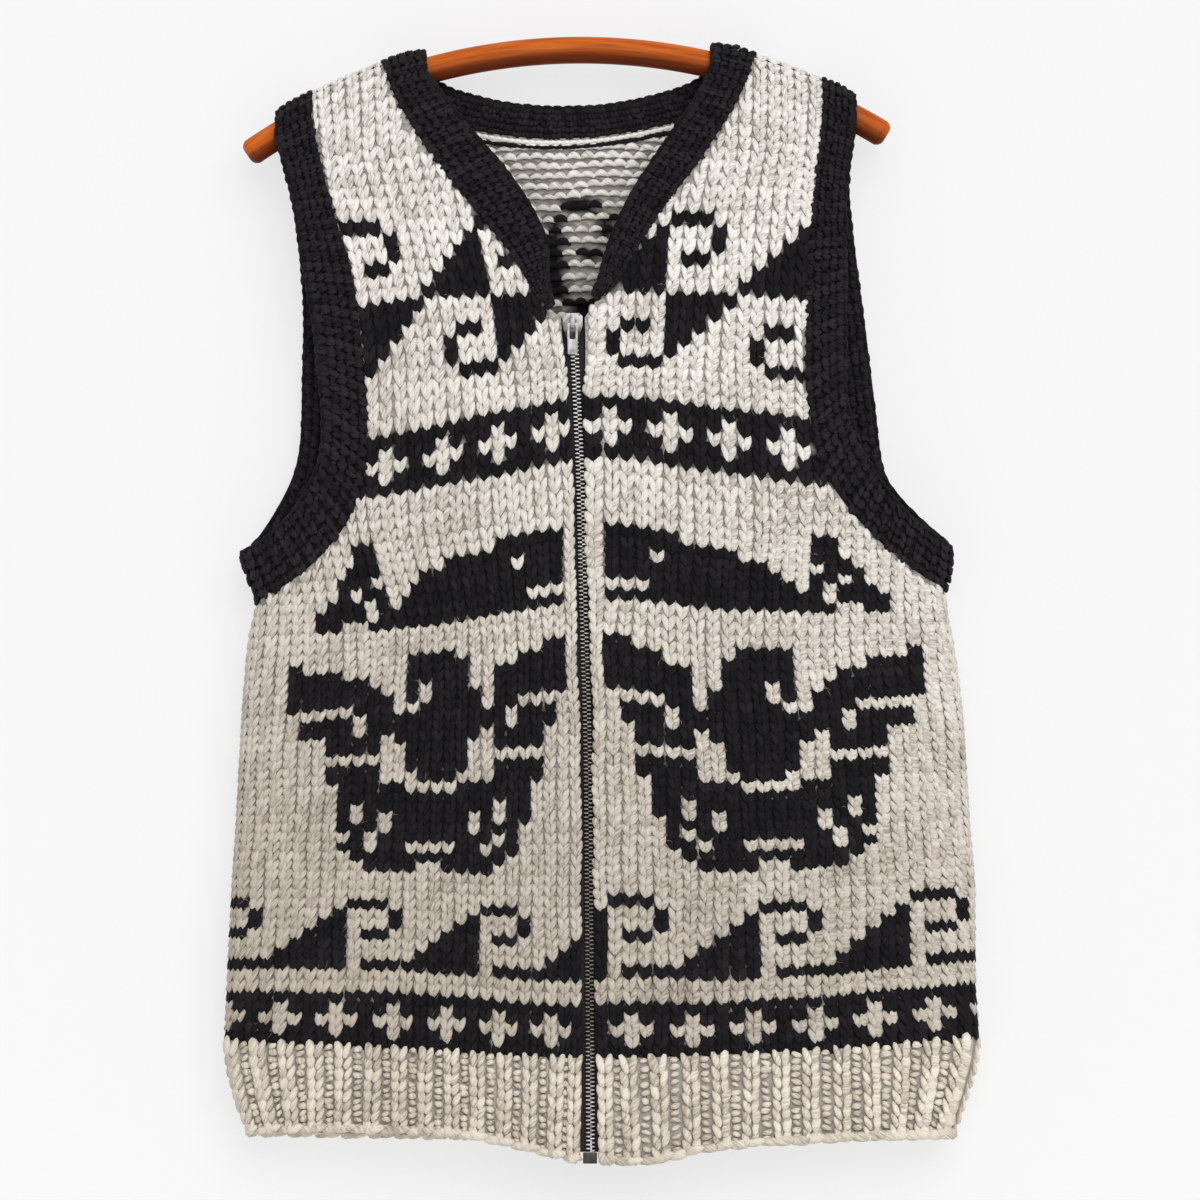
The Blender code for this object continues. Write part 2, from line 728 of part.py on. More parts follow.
def neckband():
    """Band from the zip up the left front, round the back neck and down the right front."""
    path = []
    for side in ("left", "right"):
        seam, edge = shoulder_rows(side, "neck_seam"), shoulder_rows(side, "neck_edge")
        front = stations(neck_line(side, "seam"), neck_line(side, "edge"), -1)
        over = stations(seam, edge, -1) + stations(seam[-2::-1], edge[-2::-1], 1)
        if side == "left":
            path += front + over + stations(back_neck_line("seam"), back_neck_line("edge"), 1)
        else:
            path += over[::-1] + front[::-1]
    return band("neckband", path, ring=False)


def hanger():
    """Arched dowel with rounded ends."""
    bm = bmesh.new()
    length = 2 * HANGER_ARC_RADIUS * HANGER_HALF_ANGLE
    straight = length - 2 * DOWEL_ROUNDING
    places = [(row["at"], row["share"]) for row in DOWEL_END]
    places += [(DOWEL_ROUNDING + straight * k / HANGER_STEPS, 1.0) for k in range(HANGER_STEPS + 1)]
    places += [(length - row["at"], row["share"]) for row in reversed(DOWEL_END)]
    arc_x = HANGER_ARC_RADIUS * sin(HANGER_TILT)
    arc_z = -HANGER_ARC_RADIUS * cos(HANGER_TILT) - DOWEL_RADIUS
    rings = []
    for at, share in places:
        angle = at / HANGER_ARC_RADIUS - HANGER_HALF_ANGLE - HANGER_TILT
        out = Vector((sin(angle), 0, cos(angle)))
        middle = Vector((arc_x, 0, arc_z)) + out * HANGER_ARC_RADIUS
        ring = []
        for k in range(DOWEL_SIDES):
            turn = 2 * pi * k / DOWEL_SIDES
            away = out * cos(turn) + Vector((0, 1, 0)) * sin(turn)
            ring.append(bm.verts.new(middle + away * DOWEL_RADIUS * share))
        rings.append(ring)
    for a, b in zip(rings, rings[1:]):
        for k in range(DOWEL_SIDES):
            n = (k + 1) % DOWEL_SIDES
            bm.faces.new((a[k], a[n], b[n], b[k]))
    bm.faces.new(rings[0])
    bm.faces.new(rings[-1])
    return add_object("hanger", bm, "varnished_wood")


def zip_levels():
    """Heights of the rows along the zip, the same as on the cloth beside it."""
    top = SLIDER_TOP - TAPE_END_BELOW_SLIDER_TOP
    cloth_low = rib_top_z(ZIP_LINE[0]["x"])
    rib = [mix(ZIP_BOTTOM, cloth_low, k / RIB_ROWS) for k in range(RIB_ROWS)]
    return rib + [mix(cloth_low, top, k / ZIP_STEPS) for k in range(ZIP_STEPS + 1)]


def strip(name, spans, depth, wall, material):
    """Flat strip behind the cloth's outer face; spans gives its two edges at each height."""
    outer, inner = [], []
    for z, left, right in spans:
        row_out, row_in = [], []
        for x in (left, right):
            place = flat(x, z)
            point = cloth_point(place.x, place.y, -1)
            normal = cloth_normal(place.x, place.y, -1)
            row_out.append(point - normal * depth)
            row_in.append(point - normal * (depth + wall))
        outer.append(row_out)
        inner.append(row_in)
    return closed_wall(name, outer, inner, material)


def zip_tapes_and_chain():
    levels = zip_levels()
    tape_depth = CLOTH_WALL + TAPE_GAP
    for side, sign in (("left", -1), ("right", 1)):
        edges = sorted((sign * TAPE_INNER_EDGE, sign * TAPE_OUTER_EDGE))
        spans = [(z, zip_x(z) + edges[0], zip_x(z) + edges[1]) for z in levels]
        strip("zip_tape_" + side, spans, tape_depth, TAPE_WALL, "tape")
    spans = [(z, zip_x(z) - CHAIN_WIDTH / 2, zip_x(z) + CHAIN_WIDTH / 2) for z in levels]
    chain_depth = tape_depth - CHAIN_GAP - CHAIN_THICKNESS
    strip("zip_chain", spans, chain_depth, CHAIN_THICKNESS, "nickel")


def zip_frame(z):
    """Frame on the cloth's outer face at the zip: X across, Y into the garment, Z up."""
    place = flat(zip_x(z), z)
    point = cloth_point(place.x, place.y, -1)
    below = cloth_point(place.x, place.y + SLIDER_LENGTH / 2, -1)
    up = (point - below).normalized()
    across = Vector((1, 0, 0))
    inward = up.cross(across).normalized()
    axes = Matrix((across, inward, up)).transposed().to_4x4()
    return Matrix.Translation(point) @ axes


def outline_prism(outline, low_y, high_y):
    """Prism whose outline lies in X and Z."""
    bm = bmesh.new()
    near = [bm.verts.new((x, low_y, z)) for x, z in outline]
    far = [bm.verts.new((x, high_y, z)) for x, z in outline]
    bm.faces.new(near)
    bm.faces.new(far[::-1])
    for k in range(len(outline)):
        n = (k + 1) % len(outline)
        bm.faces.new((near[k], far[k], far[n], near[n]))
    return bm


def rectangle(width, top, bottom):
    return [(-width / 2, bottom), (width / 2, bottom), (width / 2, top), (-width / 2, top)]


def unite(body, tools):
    """Join helper solids to a body; the helpers stay hidden."""
    for tool in tools:
        tool.hide_render = True
        tool.display_type = "WIRE"
        joint = body.modifiers.new(tool.name, "BOOLEAN")
        joint.operation = "UNION"
        joint.solver = "EXACT"
        joint.object = tool


def slider():
    """Slider: a front plate, a back plate, the post between them and the bridge for the tab."""
    frame = zip_frame(SLIDER_TOP)
    chain_face = CLOTH_WALL + TAPE_GAP - CHAIN_GAP - CHAIN_THICKNESS
    front_back_face = chain_face - CHAIN_GAP
    front_face = front_back_face - PLATE_THICKNESS
    back_face = CLOTH_WALL + TAPE_GAP + TAPE_WALL + CHAIN_GAP
    half, waist = SLIDER_WIDTH / 2, SLIDER_WAIST / 2
    corner, foot, over = SLIDER_CORNER, SLIDER_FOOT_CORNER, JOIN_OVERLAP
    right_side = [
        (waist - foot, -SLIDER_LENGTH), (waist, foot - SLIDER_LENGTH),
        (half, -SLIDER_SHOULDER), (half, -corner), (half - corner, 0),
    ]
    outline = right_side + [(-x, z) for x, z in reversed(right_side)]
    narrow = [(x * BACK_PLATE_SHARE, z) for x, z in outline]
    bridge_low = BRIDGE_TOP + BRIDGE_LENGTH
    top_of_bridge = front_face - BRIDGE_CLEAR - BRIDGE_THICKNESS
    pieces = {
        "slider_back_plate": outline_prism(narrow, back_face, back_face + BACK_PLATE_THICKNESS),
        "slider_post": outline_prism(
            rectangle(POST_WIDTH, -POST_TOP, -POST_TOP - POST_LENGTH),
            front_back_face - over, back_face + over),
        "bridge_head": outline_prism(
            rectangle(BRIDGE_WIDTH, -BRIDGE_TOP, -BRIDGE_TOP - BRIDGE_FOOT),
            top_of_bridge, front_face + over),
        "bridge_foot": outline_prism(
            rectangle(BRIDGE_WIDTH, -bridge_low + BRIDGE_FOOT, -bridge_low),
            top_of_bridge, front_face + over),
        "bridge_span": outline_prism(
            rectangle(BRIDGE_WIDTH, -BRIDGE_TOP - over, -bridge_low + over),
            top_of_bridge - over / 3, front_face - BRIDGE_CLEAR),
    }
    body = outline_prism(outline, front_face, front_back_face)
    bmesh.ops.transform(body, matrix=frame, verts=body.verts)
    slider_body = add_object("zip_slider", body, "nickel")
    tools = []
    for name, bm in pieces.items():
        bmesh.ops.transform(bm, matrix=frame, verts=bm.verts)
        tools.append(add_object(name, bm, "nickel"))
    unite(slider_body, tools)
    return frame, front_face


def rounded_outline(top, bottom, top_width, bottom_width, radius):
    """Outline of a tab with four rounded corners, anticlockwise from the lower left."""
    corners = [
        (-bottom_width / 2 + radius, bottom + radius, 180),
        (bottom_width / 2 - radius, bottom + radius, 270),
        (top_width / 2 - radius, top - radius, 0),
        (-top_width / 2 + radius, top - radius, 90),
    ]
    points = []
    for x, z, start in corners:
        for k in range(TAB_CORNER_POINTS):
            angle = radians(start + 90 * k / (TAB_CORNER_POINTS - 1))
            points.append((x + radius * cos(angle), z + radius * sin(angle)))
    return points


def pull_tab(frame, front_face):
    """Pull tab with the slot that the slider's bridge passes through."""
    axis_y = front_face - BRIDGE_CLEAR / 2
    outer = rounded_outline(
        TAB_BAR / 2, TAB_BAR / 2 - TAB_LENGTH, TAB_WIDTH, TAB_TIP_WIDTH, TAB_CORNER)
    slot_low = -TAB_BAR / 2 - TAB_SLOT_LENGTH
    inner = rounded_outline(
        -TAB_BAR / 2, slot_low, TAB_SLOT_WIDTH, TAB_SLOT_WIDTH, TAB_SLOT_CORNER)
    bm = bmesh.new()
    loops = []
    for outline in (outer, inner):
        for y in (-TAB_THICKNESS / 2, TAB_THICKNESS / 2):
            loops.append([bm.verts.new((x, y, z)) for x, z in outline])
    outer_near, outer_far, inner_near, inner_far = loops
    for k in range(len(outer)):
        n = (k + 1) % len(outer)
        bm.faces.new((outer_near[k], outer_near[n], inner_near[n], inner_near[k]))
        bm.faces.new((outer_far[k], inner_far[k], inner_far[n], outer_far[n]))
        bm.faces.new((outer_near[k], outer_far[k], outer_far[n], outer_near[n]))
        bm.faces.new((inner_near[k], inner_near[n], inner_far[n], inner_far[k]))
    place = frame @ Matrix.Translation((0, axis_y, -TAB_AXIS_BELOW_TOP))
    turn = place.to_3x3().to_4x4()
    bmesh.ops.transform(bm, matrix=turn, verts=bm.verts)
    tab = add_object("zip_pull_tab", bm, "nickel")
    tab.location = place.translation * MM
    return tab


def zip_box():
    """Retaining box at the foot of the zip."""
    width, depth, height = BOX_SIZE
    frame = zip_frame(ZIP_BOTTOM)
    middle = CLOTH_WALL + TAPE_GAP - BOX_SHIFT
    outline = rectangle(width, -CHAIN_GAP, -CHAIN_GAP - height)
    bm = outline_prism(outline, middle - depth / 2, middle + depth / 2)
    bmesh.ops.transform(bm, matrix=frame, verts=bm.verts)
    return add_object("zip_box", bm, "gunmetal")


def clear_scene():
    for obj in list(bpy.data.objects):
        bpy.data.objects.remove(obj, do_unlink=True)


def main():
    clear_scene()
    hanger()
    front_panel("left")
    front_panel("right")
    back_panel()
    hem_ribs()
    armhole_band("left")
    armhole_band("right")
    neckband()
    zip_tapes_and_chain()
    frame, front_face = slider()
    pull_tab(frame, front_face)
    zip_box()


main()
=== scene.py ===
"""Looks of a hand-knitted zipped vest that hangs on an arched wooden dowel hanger.

Lengths are in millimetres until a mesh is written, and metres in the scene. X runs to the
right as the front is seen, Y from the front to the back and Z up, with the origin on top of
the dowel. The cloth is described on a flat plane (s, h): s runs across the garment and h runs
down from the shoulder seam. The knitting is described in stitches: wale k counts across a
panel and row r counts up from the top of the hem rib.
"""
from math import cos, pi, radians, sin

import bmesh
import bpy
import numpy as np
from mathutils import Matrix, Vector


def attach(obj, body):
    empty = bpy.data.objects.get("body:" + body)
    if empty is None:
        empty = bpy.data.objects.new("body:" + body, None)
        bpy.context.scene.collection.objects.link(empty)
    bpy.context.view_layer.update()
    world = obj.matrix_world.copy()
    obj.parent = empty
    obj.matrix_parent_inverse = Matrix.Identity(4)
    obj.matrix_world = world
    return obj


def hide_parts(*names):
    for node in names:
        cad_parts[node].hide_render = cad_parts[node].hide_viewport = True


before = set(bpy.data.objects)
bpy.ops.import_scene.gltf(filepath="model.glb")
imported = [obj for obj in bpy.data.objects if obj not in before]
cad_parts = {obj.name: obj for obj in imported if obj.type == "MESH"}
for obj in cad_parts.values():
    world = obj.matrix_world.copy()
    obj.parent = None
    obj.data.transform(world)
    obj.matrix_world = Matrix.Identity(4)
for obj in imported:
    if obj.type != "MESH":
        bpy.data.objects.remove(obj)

MM = 0.001
SEED = 41
BODY = "vest"
TAB_BODY = "pull_tab"
SIGN = {"left": -1, "right": 1}
FACING = {"left": -1, "right": -1, "back": 1}

# Cloth
CLOTH_WALL = 5.0
FOLD_RADIUS = 11.0
FOLD_RADIUS_REACH = 250.0
FRONT_BOW = 17.0
BACK_BOW = 10.0
BOW_REACH = 230.0
HEM_WAVE_HEIGHT = 2.6
HEM_WAVE_LENGTH = 150.0
HEM_WAVE_TOP = -380.0
HEM_WAVE_SPAN = 300.0
DIFFERENCE_STEP = 0.4
FOLD_SEARCH_STEPS = 6
KNIT_SEARCH_STEPS = 7
CURVE_PARTS = 12

# Hanger
DOWEL_RADIUS = 9.0
DOWEL_CLEARANCE = 1.2
HANGER_ARC_RADIUS = 390.0
HANGER_HALF_ANGLE = radians(33.3)
HANGER_TILT = radians(1.7)
DOWEL_SIDES = 40
DOWEL_PARTS = 110
DOWEL_END_ROUND = 5.5
WRAP_RADIUS = DOWEL_RADIUS + DOWEL_CLEARANCE + CLOTH_WALL
WRAP_LENGTH = WRAP_RADIUS * pi / 2

# Stitches
WALES = {"left": 27, "right": 26, "back": 54}
PANEL_MIDDLE = {"left": -100.0, "right": 120.0, "back": 20.0}
BODY_ROWS = 88
RIB_ROWS = 8
RIB_HEIGHT = 2.4
RIB_SINK = 0.6
RIB_SHELL_SHARE = 0.9
RIB_PITCHES = (6.5, 9.6)
RIB_PURL_STEP = 0.62
SHELL_TOP = 2.1
SHELL_BACK = 4.3
STITCH_ROUND = 1.85
BODY_WANDER = 0.10
PURL_WANDER = 0.13
RIB_WANDER = 0.07

# Half width and thickness of each kind of strand whose size doesn't follow the wales
STRANDS = {
    "purl arch": (2.3, 1.9),
    "rib bump": (2.0, 1.6),
    "cast-on lump": (3.1, 2.9),
    "cast-on fill": (2.1, 2.3),
    "band leg": (1.8, 1.9),
    "band bump": (2.1, 2.0),
    "band edge": (1.9, 1.9),
}
BAND_PITCH = 8.0
BAND_SHOULDER_STEPS = 3

# Zip
ZIP_EDGE = 6.3
ZIP_EDGE_AT_SLIDER = 7.9
ZIP_EDGE_AT_HEM = 7.4
SLIDER_SPREAD_FOOT = -235.0
HEM_SPREAD_TOP = -700.0
SPREAD_LENGTH = 40.0
ZIP_BOTTOM = -746.0
SLIDER_TOP = -185.5
ZIP_CORNER = SLIDER_TOP - 3.0
TAPE_DEPTH = CLOTH_WALL + 0.4
TAPE_WALL = 1.0
TAPE_TOP = SLIDER_TOP - 5.5
TOOTH_PITCH = 2.7
TOOTH_TOP = 2.5


def table(columns, *rows):
    """Rows of a short table as dictionaries with the named columns."""
    names = columns.split()
    return [dict(zip(names, row)) for row in rows]


# Side folds of the garment, from the hem up
SIDES = table(
    "level z left right",
    ("hem corner", -733, -211, 261),
    ("rib low", -711, -219.5, 269.5),
    ("rib top", -672, -227.5, 278),
    ("low band", -632, -226, 276),
    ("wave band", -571, -223, 275.5),
    ("figure foot", -525, -220, 272),
    ("waist", -460, -216.5, 268),
    ("chest", -405, -212, 261),
    ("underarm", -378, -207, 256.5),
    ("band tip", -345, -218, 261),
    ("above tip", -320, -219, 262),
    ("shoulder", 20, -219, 262),
)

# Middle of the zip
ZIP_LINE = table(
    "level z x",
    ("hem", -755, 17.5),
    ("waist", -491, 16),
    ("chest", -377, 13),
    ("top band", -297, 11),
    ("below slider", -230, 8),
    ("slider", -190, 6),
    ("above slider", -150, 4),
)

# Where the rib meets the body, and the cast-on edge of the rib
RIB_TOP = table(
    "level x z",
    ("left fold", -246, -671),
    ("left middle", -110, -677),
    ("centre", 17, -683),
    ("right middle", 150, -679),
    ("right fold", 296, -668),
)
HEM = table(
    "level x z",
    ("left fold", -246, -733),
    ("left quarter", -144, -731),
    ("left middle", -76, -733),
    ("left of zip", -20, -744),
    ("zip", 17, -752),
    ("right of zip", 52, -752),
    ("right middle", 91, -744),
    ("right quarter", 158, -738),
    ("right fold", 296, -733),
)
BACK_RIB_TOP = table(
    "level x z",
    ("left fold", -246, -671),
    ("centre", 24, -676),
    ("right fold", 296, -668),
)
BACK_HEM = table(
    "level x z",
    ("left fold", -246, -733),
    ("centre", 24, -738),
    ("right fold", 296, -733),
)

# Seam and free edge of each armhole band, from the underarm up
UNDERARM = {"left": {"seam_z": -380, "edge_z": -345}, "right": {"seam_z": -372, "edge_z": -343}}
ARMHOLE_COLUMNS = "level seam_x seam_z edge_x edge_z"
FRONT_ARMHOLE = {
    "left": table(
        ARMHOLE_COLUMNS,
        ("hollow", -191, -370, -209, -340),
        ("scoop", -162, -347, -191, -326),
        ("turn", -139, -313, -173, -302),
        ("deepest", -132, -270, -163, -269),
        ("middle", -135, -211, -167, -211),
        ("chest", -143, -158, -175, -158),
        ("yoke", -156, -111, -181.5, -115),
        ("near dowel", -165, -74, -189, -84),
    ),
    "right": table(
        ARMHOLE_COLUMNS,
        ("hollow", 240, -361, 248, -332),
        ("scoop", 206, -333, 223, -310),
        ("turn", 177, -296, 203, -280),
        ("deepest", 164, -251, 191, -245),
        ("middle", 162, -200, 189.5, -200),
        ("chest", 163.5, -148, 189.5, -148),
        ("yoke", 167, -104, 189.5, -106),
        ("near dowel", 171, -72, 193, -78),
    ),
}
BACK_ARMHOLE = {
    "left": table(
        ARMHOLE_COLUMNS,
        ("hollow", -190, -367, -208, -338),
        ("scoop", -163.5, -333, -187.5, -306),
        ("turn", -149.5, -287, -178, -277),
        ("deepest", -147, -230, -176, -229),
        ("middle", -148, -173, -175.5, -173),
        ("yoke", -157, -110, -182, -114),
        ("near dowel", -165, -74, -189, -84),
    ),
    "right": table(
        ARMHOLE_COLUMNS,
        ("hollow", 242, -357, 246, -328),
        ("scoop", 212, -330, 226, -308),
        ("turn", 189, -297, 214.5, -289),
        ("deepest", 181.5, -250, 209, -248),
        ("middle", 176, -200, 203, -200),
        ("yoke", 168.5, -110, 192, -112),
        ("near dowel", 171, -72, 193, -78),
    ),
}

# Seam and free edge of the neckband: up each front from the zip, and across the back
NECK_COLUMNS = "level seam_x seam_z edge_x edge_z"
FRONT_NECK = {
    "left": table(
        NECK_COLUMNS,
        ("zip end", -11, -181.5, -8, -178.5),
        ("foot", -22, -169.5, -10.5, -157.5),
        ("turn", -31.5, -151, -10.5, -137),
        ("lower", -56, -120.5, -28, -102.5),
        ("upper", -88, -80.5, -60, -63),
        ("near dowel", -110, -46, -84, -33),
    ),
    "right": table(
        NECK_COLUMNS,
        ("zip end", 22.5, -176, 20.5, -171),
        ("foot", 33.5, -168, 24, -160),
        ("turn", 46, -147, 28.5, -141),
        ("lower", 66.5, -114.5, 43, -107),
        ("upper", 90, -84, 65, -73),
        ("near dowel", 113, -48, 89, -38),
    ),
}
BACK_NECK = table(
    NECK_COLUMNS,
    ("left rise", -105, -42, -84, -30),
    ("left", -78, -57, -66, -37),
    ("left middle", -43, -65, -37, -43.5),
    ("middle", -7, -67.5, -5, -46),
    ("right middle", 32, -65, 29, -44.5),
    ("right", 76, -56, 65, -37.5),
    ("right rise", 107, -42, 88, -29),
)

# Edges of the shoulder where it lies over the dowel: at the dowel's height and on top of it
SHOULDER = {
    "left": {"arm_seam": -169, "arm_edge": -194, "neck_seam": -117, "neck_edge": -92},
    "right": {"arm_seam": 173.5, "arm_edge": 196, "neck_seam": 124, "neck_edge": 98},
}
SHOULDER_TOP = {
    "left": {"arm_seam": -169, "arm_edge": -194, "neck_seam": -123, "neck_edge": -93},
    "right": {"arm_seam": 173.5, "arm_edge": 196, "neck_seam": 129, "neck_edge": 98.5},
}

# Heights of knitted rows at six places across the front
ROW_PLACES = {
    "left_fold": -226, "left_middle": -110, "zip": 6, "zip_right": 34, "right_middle": 118,
    "right_fold": 272,
}
ROW_LINES = table(
    "row " + " ".join(ROW_PLACES),
    (0, -671, -677, -683, -683, -681, -669),
    (5, -638, -639, -647, -645, -645, -632),
    (8, -616, -617, -624, -620, -623, -611),
    (14, -576, -577, -582, -573, -579, -568),
    (17, -557, -558, -561, -554, -558, -548),
    (39, -425, -414, -400, -399, -409, -405),
    (42, -402, -396, -378, -376, -383, -385),
    (50, -348, -336, -320, -318, -330, -340),
    (54, -320, -305, -283, -281, -293, -312),
    (59, -285, -265, -241, -240, -249, -272),
    (62, -262, -232, -221, -220, -226, -246),
    (74, -126, -122, -117, -117, -116, -119),
)

# Rows that bend with the rib line, and how the back's rows bow below and above the chest
RIB_LINE_ROWS = 5
BACK_CHEST_ROW = 40
BACK_CHEST_ROWS = 20
BACK_ROW_BOW = (-5.0, 14.0)

# Wale lines above the underarm: the outer edge, the armhole and the inner edge of each panel
WALE_COLUMNS = "z outer arm inner"
ARMHOLE_WALE = {"left": 12.0, "right": 11.1}
UPPER_WALES = {
    "left": table(
        WALE_COLUMNS,
        (-313, -214, -133, 5),
        (-270, -213, -132, 3),
        (-211, -215, -134.5, 0),
        (-158, -221, -142.5, -8),
        (-111, -230, -155, -18),
        (-74, -237, -163, -24),
        (24, -240, -168, -27),
    ),
    "right": table(
        WALE_COLUMNS,
        (-313, 261, 166, 17.5),
        (-270, 260, 164.5, 16.5),
        (-211, 259, 162.5, 15),
        (-158, 258, 163, 18),
        (-111, 260, 166.5, 23),
        (-74, 264, 171, 29),
        (24, 266, 173.5, 32),
    ),
}

# Soft creases of the hung cloth: troughs are negative, ridges positive
CREASES = table(
    "facing x0 z0 x1 z1 width depth",
    (-1, -196, -398, -150, -545, 24, -2.0),
    (-1, -168, -392, -96, -470, 20, 1.3),
    (-1, 246, -392, 205, -545, 24, -2.0),
    (-1, 214, -380, 140, -452, 20, 1.4),
    (-1, -128, -330, -60, -372, 20, -1.3),
    (-1, 160, -322, 92, -366, 20, -1.3),
    (-1, -70, -560, -96, -705, 28, -1.8),
    (-1, -172, -590, -160, -715, 22, 1.7),
    (-1, 118, -560, 150, -705, 28, -1.8),
    (-1, 205, -585, 214, -715, 22, 1.8),
    (-1, -30, -420, -44, -560, 26, 1.2),
    (-1, 60, -430, 74, -570, 26, 1.2),
    (1, -160, -392, -70, -520, 28, -2.2),
    (1, 205, -392, 110, -510, 28, -2.0),
    (1, 24, -560, 10, -715, 32, -2.0),
    (1, -112, -585, -130, -715, 24, 1.8),
    (1, 152, -565, 168, -715, 26, 1.8),
    (1, -60, -130, -110, -290, 30, 1.2),
    (1, 100, -130, 150, -300, 30, -1.2),
)
CREASE_ZIP_FLAT = 8.0
CREASE_ZIP_CLEAR = 26.0

# Width of the first wale beside the zip, in the body and in the yoke
SELVEDGE = {"left": (7.8, 7.6), "right": (9.0, 12.6)}
SELVEDGE_RISE = (-420.0, 90.0)

# How much wider the wales are at the left side fold than beside the zip
SIDE_WIDENING = {"left": 0.10, "right": 0.0}

# Motifs, top row first; # is the dark yarn
CROSS = [
    "#.##",
    "...#",
    "#.##",
]
WAVE = [
    "###.......",
    "...#.....#",
    "...#....##",
    ".##....###",
    "......####",
    ".....#####",
    ".#########",
]
YOKE_WAVE = WAVE[:-1]
WHALE = [
    "....##..............",
    "....##.........#####",
    "...###.....#########",
    "..###....#######.###",
    "..#.##..############",
    ".###.#.#############",
    "####.############...",
    "##..################",
]
BIRD = [
    "#........####.......##",
    "####.....#####....####",
    "######...#####..######",
    "#######..#.###..######",
    "########.#.####.######",
    ".....###..#####.##....",
    ".####.###########.###.",
    ".####.###########.###.",
    "...####.#######.####..",
    "...####..#####..####..",
    ".........#####........",
    "...####..#####..####..",
    "...####...###...####..",
    "....#####....######...",
    "....###############...",
    "....#.##########.##...",
    "....#.#.######.#.##...",
    "....###.######.###....",
    ".....#.#########.#....",
    "....##.##....##.##....",
    ".....############.....",
    "......####..####......",
]
WAVE_ROW = 7
WHALE_ROW = 42
BIRD_ROW = 17
CROSS_ROWS = (0, 54)
CROSS_BAND = 5
YOKE_ROW = 68

# First wale of the low crosses, of the waves and of the yoke's waves on each panel
REPEAT_STARTS = {"left": (-1, 9, 2), "right": (1, 1, 5), "back": (0, 2, 4)}

# First wale of each animal, and whether it is turned to look the other way
ANIMALS = table(
    "panel whale bird mirrored",
    ("left", 6, 4, False),
    ("right", 1, 1, True),
    ("back", 4, 3, False),
    ("back", 30, 29, True),
)

# Light wales beside the zip in the yoke
YOKE_CLEAR = {"left": slice(-1, None), "right": slice(0, 1), "back": slice(0, 0)}


def hermite(low, high, slope_low, slope_high, span, t):
    """Cubic between two values with given slopes at its ends."""
    start = low * (1 + 2 * t) * (1 - t) ** 2 + span * slope_low * t * (1 - t) ** 2
    end = high * t * t * (3 - 2 * t) + span * slope_high * t * t * (t - 1)
    return start + end


class Curve:
    """Smooth curve through the rows of a table that never swings past them."""

    def __init__(self, rows, across, value):
        self.at = np.array([row[across] for row in rows], float)
        self.values = np.array([row[value] for row in rows], float)
        rises = np.diff(self.values) / np.diff(self.at)
        same_way = rises[:-1] * rises[1:] > 0
        total = np.where(same_way, rises[:-1] + rises[1:], 1.0)
        inner = np.where(same_way, 2 * rises[:-1] * rises[1:] / total, 0.0)
        self.slopes = np.concatenate((rises[:1], inner, rises[-1:]))

    def __call__(self, where):
        where = np.clip(where, self.at[0], self.at[-1])
        i = np.clip(np.searchsorted(self.at, where, side="right") - 1, 0, len(self.at) - 2)
        span = self.at[i + 1] - self.at[i]
        t = (where - self.at[i]) / span
        return hermite(
            self.values[i], self.values[i + 1], self.slopes[i], self.slopes[i + 1], span, t)


side_fold = {"left": Curve(SIDES, "z", "left"), "right": Curve(SIDES, "z", "right")}
zip_x = Curve(ZIP_LINE, "z", "x")
rib_top_z = {-1: Curve(RIB_TOP, "x", "z"), 1: Curve(BACK_RIB_TOP, "x", "z")}
hem_z = {-1: Curve(HEM, "x", "z"), 1: Curve(BACK_HEM, "x", "z")}
row_curves = [Curve(ROW_LINES, "row", place) for place in ROW_PLACES]


def smooth(t):
    t = np.clip(t, 0.0, 1.0)
    return t * t * (3 - 2 * t)


def mix(a, b, t):
    return a + (b - a) * t


def dowel_z(x):
    """Height of the dowel's middle line at x."""
    arc_x = HANGER_ARC_RADIUS * sin(HANGER_TILT)
    crown = HANGER_ARC_RADIUS * cos(HANGER_TILT)
    return np.sqrt(HANGER_ARC_RADIUS ** 2 - (x - arc_x) ** 2) - crown - DOWEL_RADIUS


def dowel_slope_stretch(x):
    """How much further above its middle line the sloping dowel's round face reaches at x."""
    across = (x - HANGER_ARC_RADIUS * sin(HANGER_TILT)) / HANGER_ARC_RADIUS
    return 1 / np.sqrt(1 - across * across)


def fold_radius(drop):
    return mix(WRAP_RADIUS, FOLD_RADIUS, smooth(drop / FOLD_RADIUS_REACH))


def bulge(x, z, drop, facing):
    """How far the wall stands out of the flat fold, which fades towards the side folds."""
    left = side_fold["left"](z)
    right = side_fold["right"](z)
    across = (x - (left + right) / 2) / ((right - left) / 2)
    spread = np.maximum(0.0, 1 - across * across)
    bow = (FRONT_BOW if facing < 0 else BACK_BOW) * smooth(drop / BOW_REACH)
    wave = np.sin(2 * pi * x / HEM_WAVE_LENGTH + facing) * HEM_WAVE_HEIGHT
    wave = wave * smooth((HEM_WAVE_TOP - z) / HEM_WAVE_SPAN)
    return (bow + wave * spread + creases(x, z, facing) * np.sqrt(spread)) * spread


def creases(x, z, facing):
    """Height of the soft creases, which end before the zip."""
    height = np.zeros(np.broadcast(x, z).shape)
    for row in CREASES:
        if row["facing"] != facing:
            continue
        start = np.array((row["x0"], row["z0"]), float)
        run = np.array((row["x1"], row["z1"]), float) - start
        along = np.clip(((x - start[0]) * run[0] + (z - start[1]) * run[1]) / (run @ run), 0, 1)
        away = np.hypot(x - start[0] - along * run[0], z - start[1] - along * run[1])
        height = height + row["depth"] * np.exp(-(away / row["width"]) ** 2)
    if facing < 0:
        height = height * smooth((np.abs(x - zip_x(z)) - CREASE_ZIP_FLAT) / CREASE_ZIP_CLEAR)
    return height


